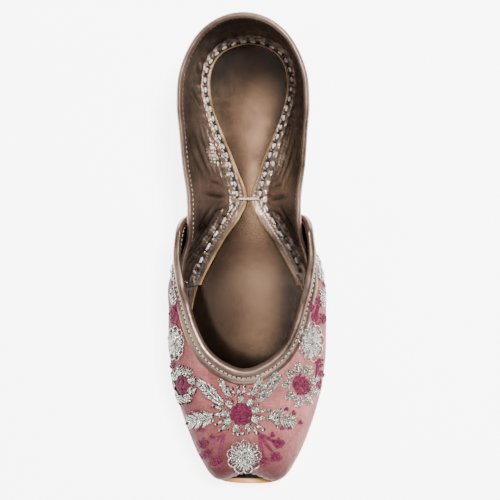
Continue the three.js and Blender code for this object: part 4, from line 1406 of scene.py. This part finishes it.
def embroider(outer):
    work = Embroidery(outer)
    work.knots(CENTRE_FLOWER, CENTRE_RADIUS, CENTRE_RADIUS)
    centre = np.array(CENTRE_FLOWER)
    for degrees in BARREL_DEGREES:
        work.barrel(centre + BARREL_RADIUS * heading(math.radians(degrees)), degrees)
    for degrees in range(10, 370, 20):
        way = heading(math.radians(degrees))
        work.bead(work.silver, centre + (BARREL_RADIUS + 5.0 + 0.8 * (degrees % 3)) * way, RING_BEAD)
    for pixel in np.array(CORAL_THREADS):
        way = unit(pixel - centre)
        work.line(work.coral, pixel - way * 2.6, pixel + way * 2.8, CORAL_THREAD, arch=0.8)
    for tip in np.array(BUGLE_TIPS):
        way = unit(tip - centre)
        start = centre + way * (BARREL_RADIUS + 4.4)
        if np.linalg.norm(tip - start) > 2:
            across = square_to(way) * 1.1
            for side in (-1, 1):
                work.line(work.silver, start + across * side, tip - way * 0.8, BUGLE_WIRE, arch=0.7)
        work.bead(work.silver, tip, TIP_BEAD)
    for base, tip, width, wires, spikes in LEAVES:
        work.leaf(base, tip, width, wires, spikes)
    for x, y in LEAF_KNOTS:
        for shift in ((-1.1, 0.6), (1.1, 0.5), (0.0, -1.2)):
            work.knot(work.magenta, (x + shift[0], y + shift[1]), 1.25)
    for middle, size, reach in SIDE_FLOWERS:
        work.petals(middle, np.array(size) + 1.0, reach, 9, 8.5, 0.35)
        work.knots(middle, size[0], size[1])
    for middle, size in WIRE_FLOWERS:
        work.scallops(middle, *size)
    for middle, size in CLUSTERS:
        work.knots(middle, *size, 1.15, 2.5)
    for foot, tip in STEMS:
        for share in (-0.3, 0.3):
            shift = unit(square_to(np.subtract(foot, tip))) * share
            work.line(work.magenta, foot + shift, tip + 3 * shift, STEM_THREAD, arch=0.2, bend=0.02, count=8)
    for base, tip in WING_LEAVES:
        work.leaf(base, tip, 6.5, 7)
    work.silver.build("silver_embroidery", SILVER, "silver_thread")
    work.magenta.build("magenta_embroidery", MAGENTA, "magenta_thread")
    work.coral.build("coral_embroidery", CORAL, "coral_thread")


# Build

lining = quarter_piece()
silk_face = vamp_piece()
rim_rings, rim_normals = binding_piece(
    "rim_piping", "rim_binding", rim_path(), quarter_middle, QUARTER_WALL, RIM_OUTSIDE, RIM_INSIDE, RIM_NOSE,
    RIM_GROOVES,
)
collar_rings, collar_normals = binding_piece(
    "collar_piping", "collar_binding", collar_path(), vamp_middle, VAMP_WALL,
    COLLAR_OUTSIDE, COLLAR_INSIDE, COLLAR_NOSE, COLLAR_GROOVES,
)
sole_pieces()
waist_tie()
stitches(surface_tree(lining), rim_rings, rim_normals, collar_rings, collar_normals)
embroider(silk_face)


# Floor, lights and camera

def floor():
    paint = Paint("pale_floor", Emission_Color=(1, 1, 1, 1), Emission_Strength=5.0)
    paint.colour(paint.grey(paint.noise(6, 2), 0.93, 0.96))
    paint.rough(paint.grey(paint.noise(40, 2), 0.85, 0.95))
    size = 12.0
    mesh = bpy.data.meshes.new("floor")
    corners = [(-size, -size, 0), (size, -size, 0), (size, size, 0), (-size, size, 0)]
    mesh.from_pydata(corners, [], [(0, 1, 2, 3)])
    mesh.materials.append(paint.material)
    piece = bpy.data.objects.new("floor", mesh)
    bpy.context.scene.collection.objects.link(piece)


# Name, place and size in metres, power in watts, and the strip's length along the shoe
LIGHTS = (
    ("right_softbox", (0.42, 0.42, 1.30), 0.36, 58),
    ("left_softbox", (-0.95, -0.2, 0.85), 0.45, 4),
    ("toe_softbox", (-0.15, -0.8, 1.1), 0.45, 4),
    ("overhead_strip", (-0.20, 0.05, 1.5), 0.09, 3.2, 0.50),
)


def soft_light(name, place, size, power, length=None):
    """A soft box that faces the shoe; with a length it is a strip along the shoe that faces down."""
    light = bpy.data.lights.new(name, "AREA")
    light.shape = "RECTANGLE"
    light.size = size
    light.size_y = size if length is None else length
    light.energy = power
    lamp = bpy.data.objects.new(name, light)
    lamp.location = place
    if length is None:
        lamp.rotation_euler = (-Vector(place)).to_track_quat("-Z", "Y").to_euler()
    bpy.context.scene.collection.objects.link(lamp)


def studio():
    world = bpy.data.worlds.new("studio")
    world.use_nodes = True
    world.node_tree.nodes["Background"].inputs["Color"].default_value = (1, 1, 1, 1)
    world.node_tree.nodes["Background"].inputs["Strength"].default_value = 0.16
    bpy.context.scene.world = world
    for light in LIGHTS:
        soft_light(*light)


def camera():
    """The photograph's camera, turned to the one shoe."""
    lens = 77.8
    eye = bpy.data.cameras.new("camera")
    eye.lens = lens
    eye.sensor_width = 36
    holder = bpy.data.objects.new("camera", eye)
    holder.location = EYE * MM
    holder.rotation_euler = (0, math.atan2(EYE[0], EYE[2]), 0)
    bpy.context.scene.collection.objects.link(holder)
    bpy.context.scene.camera = holder


floor()
studio()
camera()
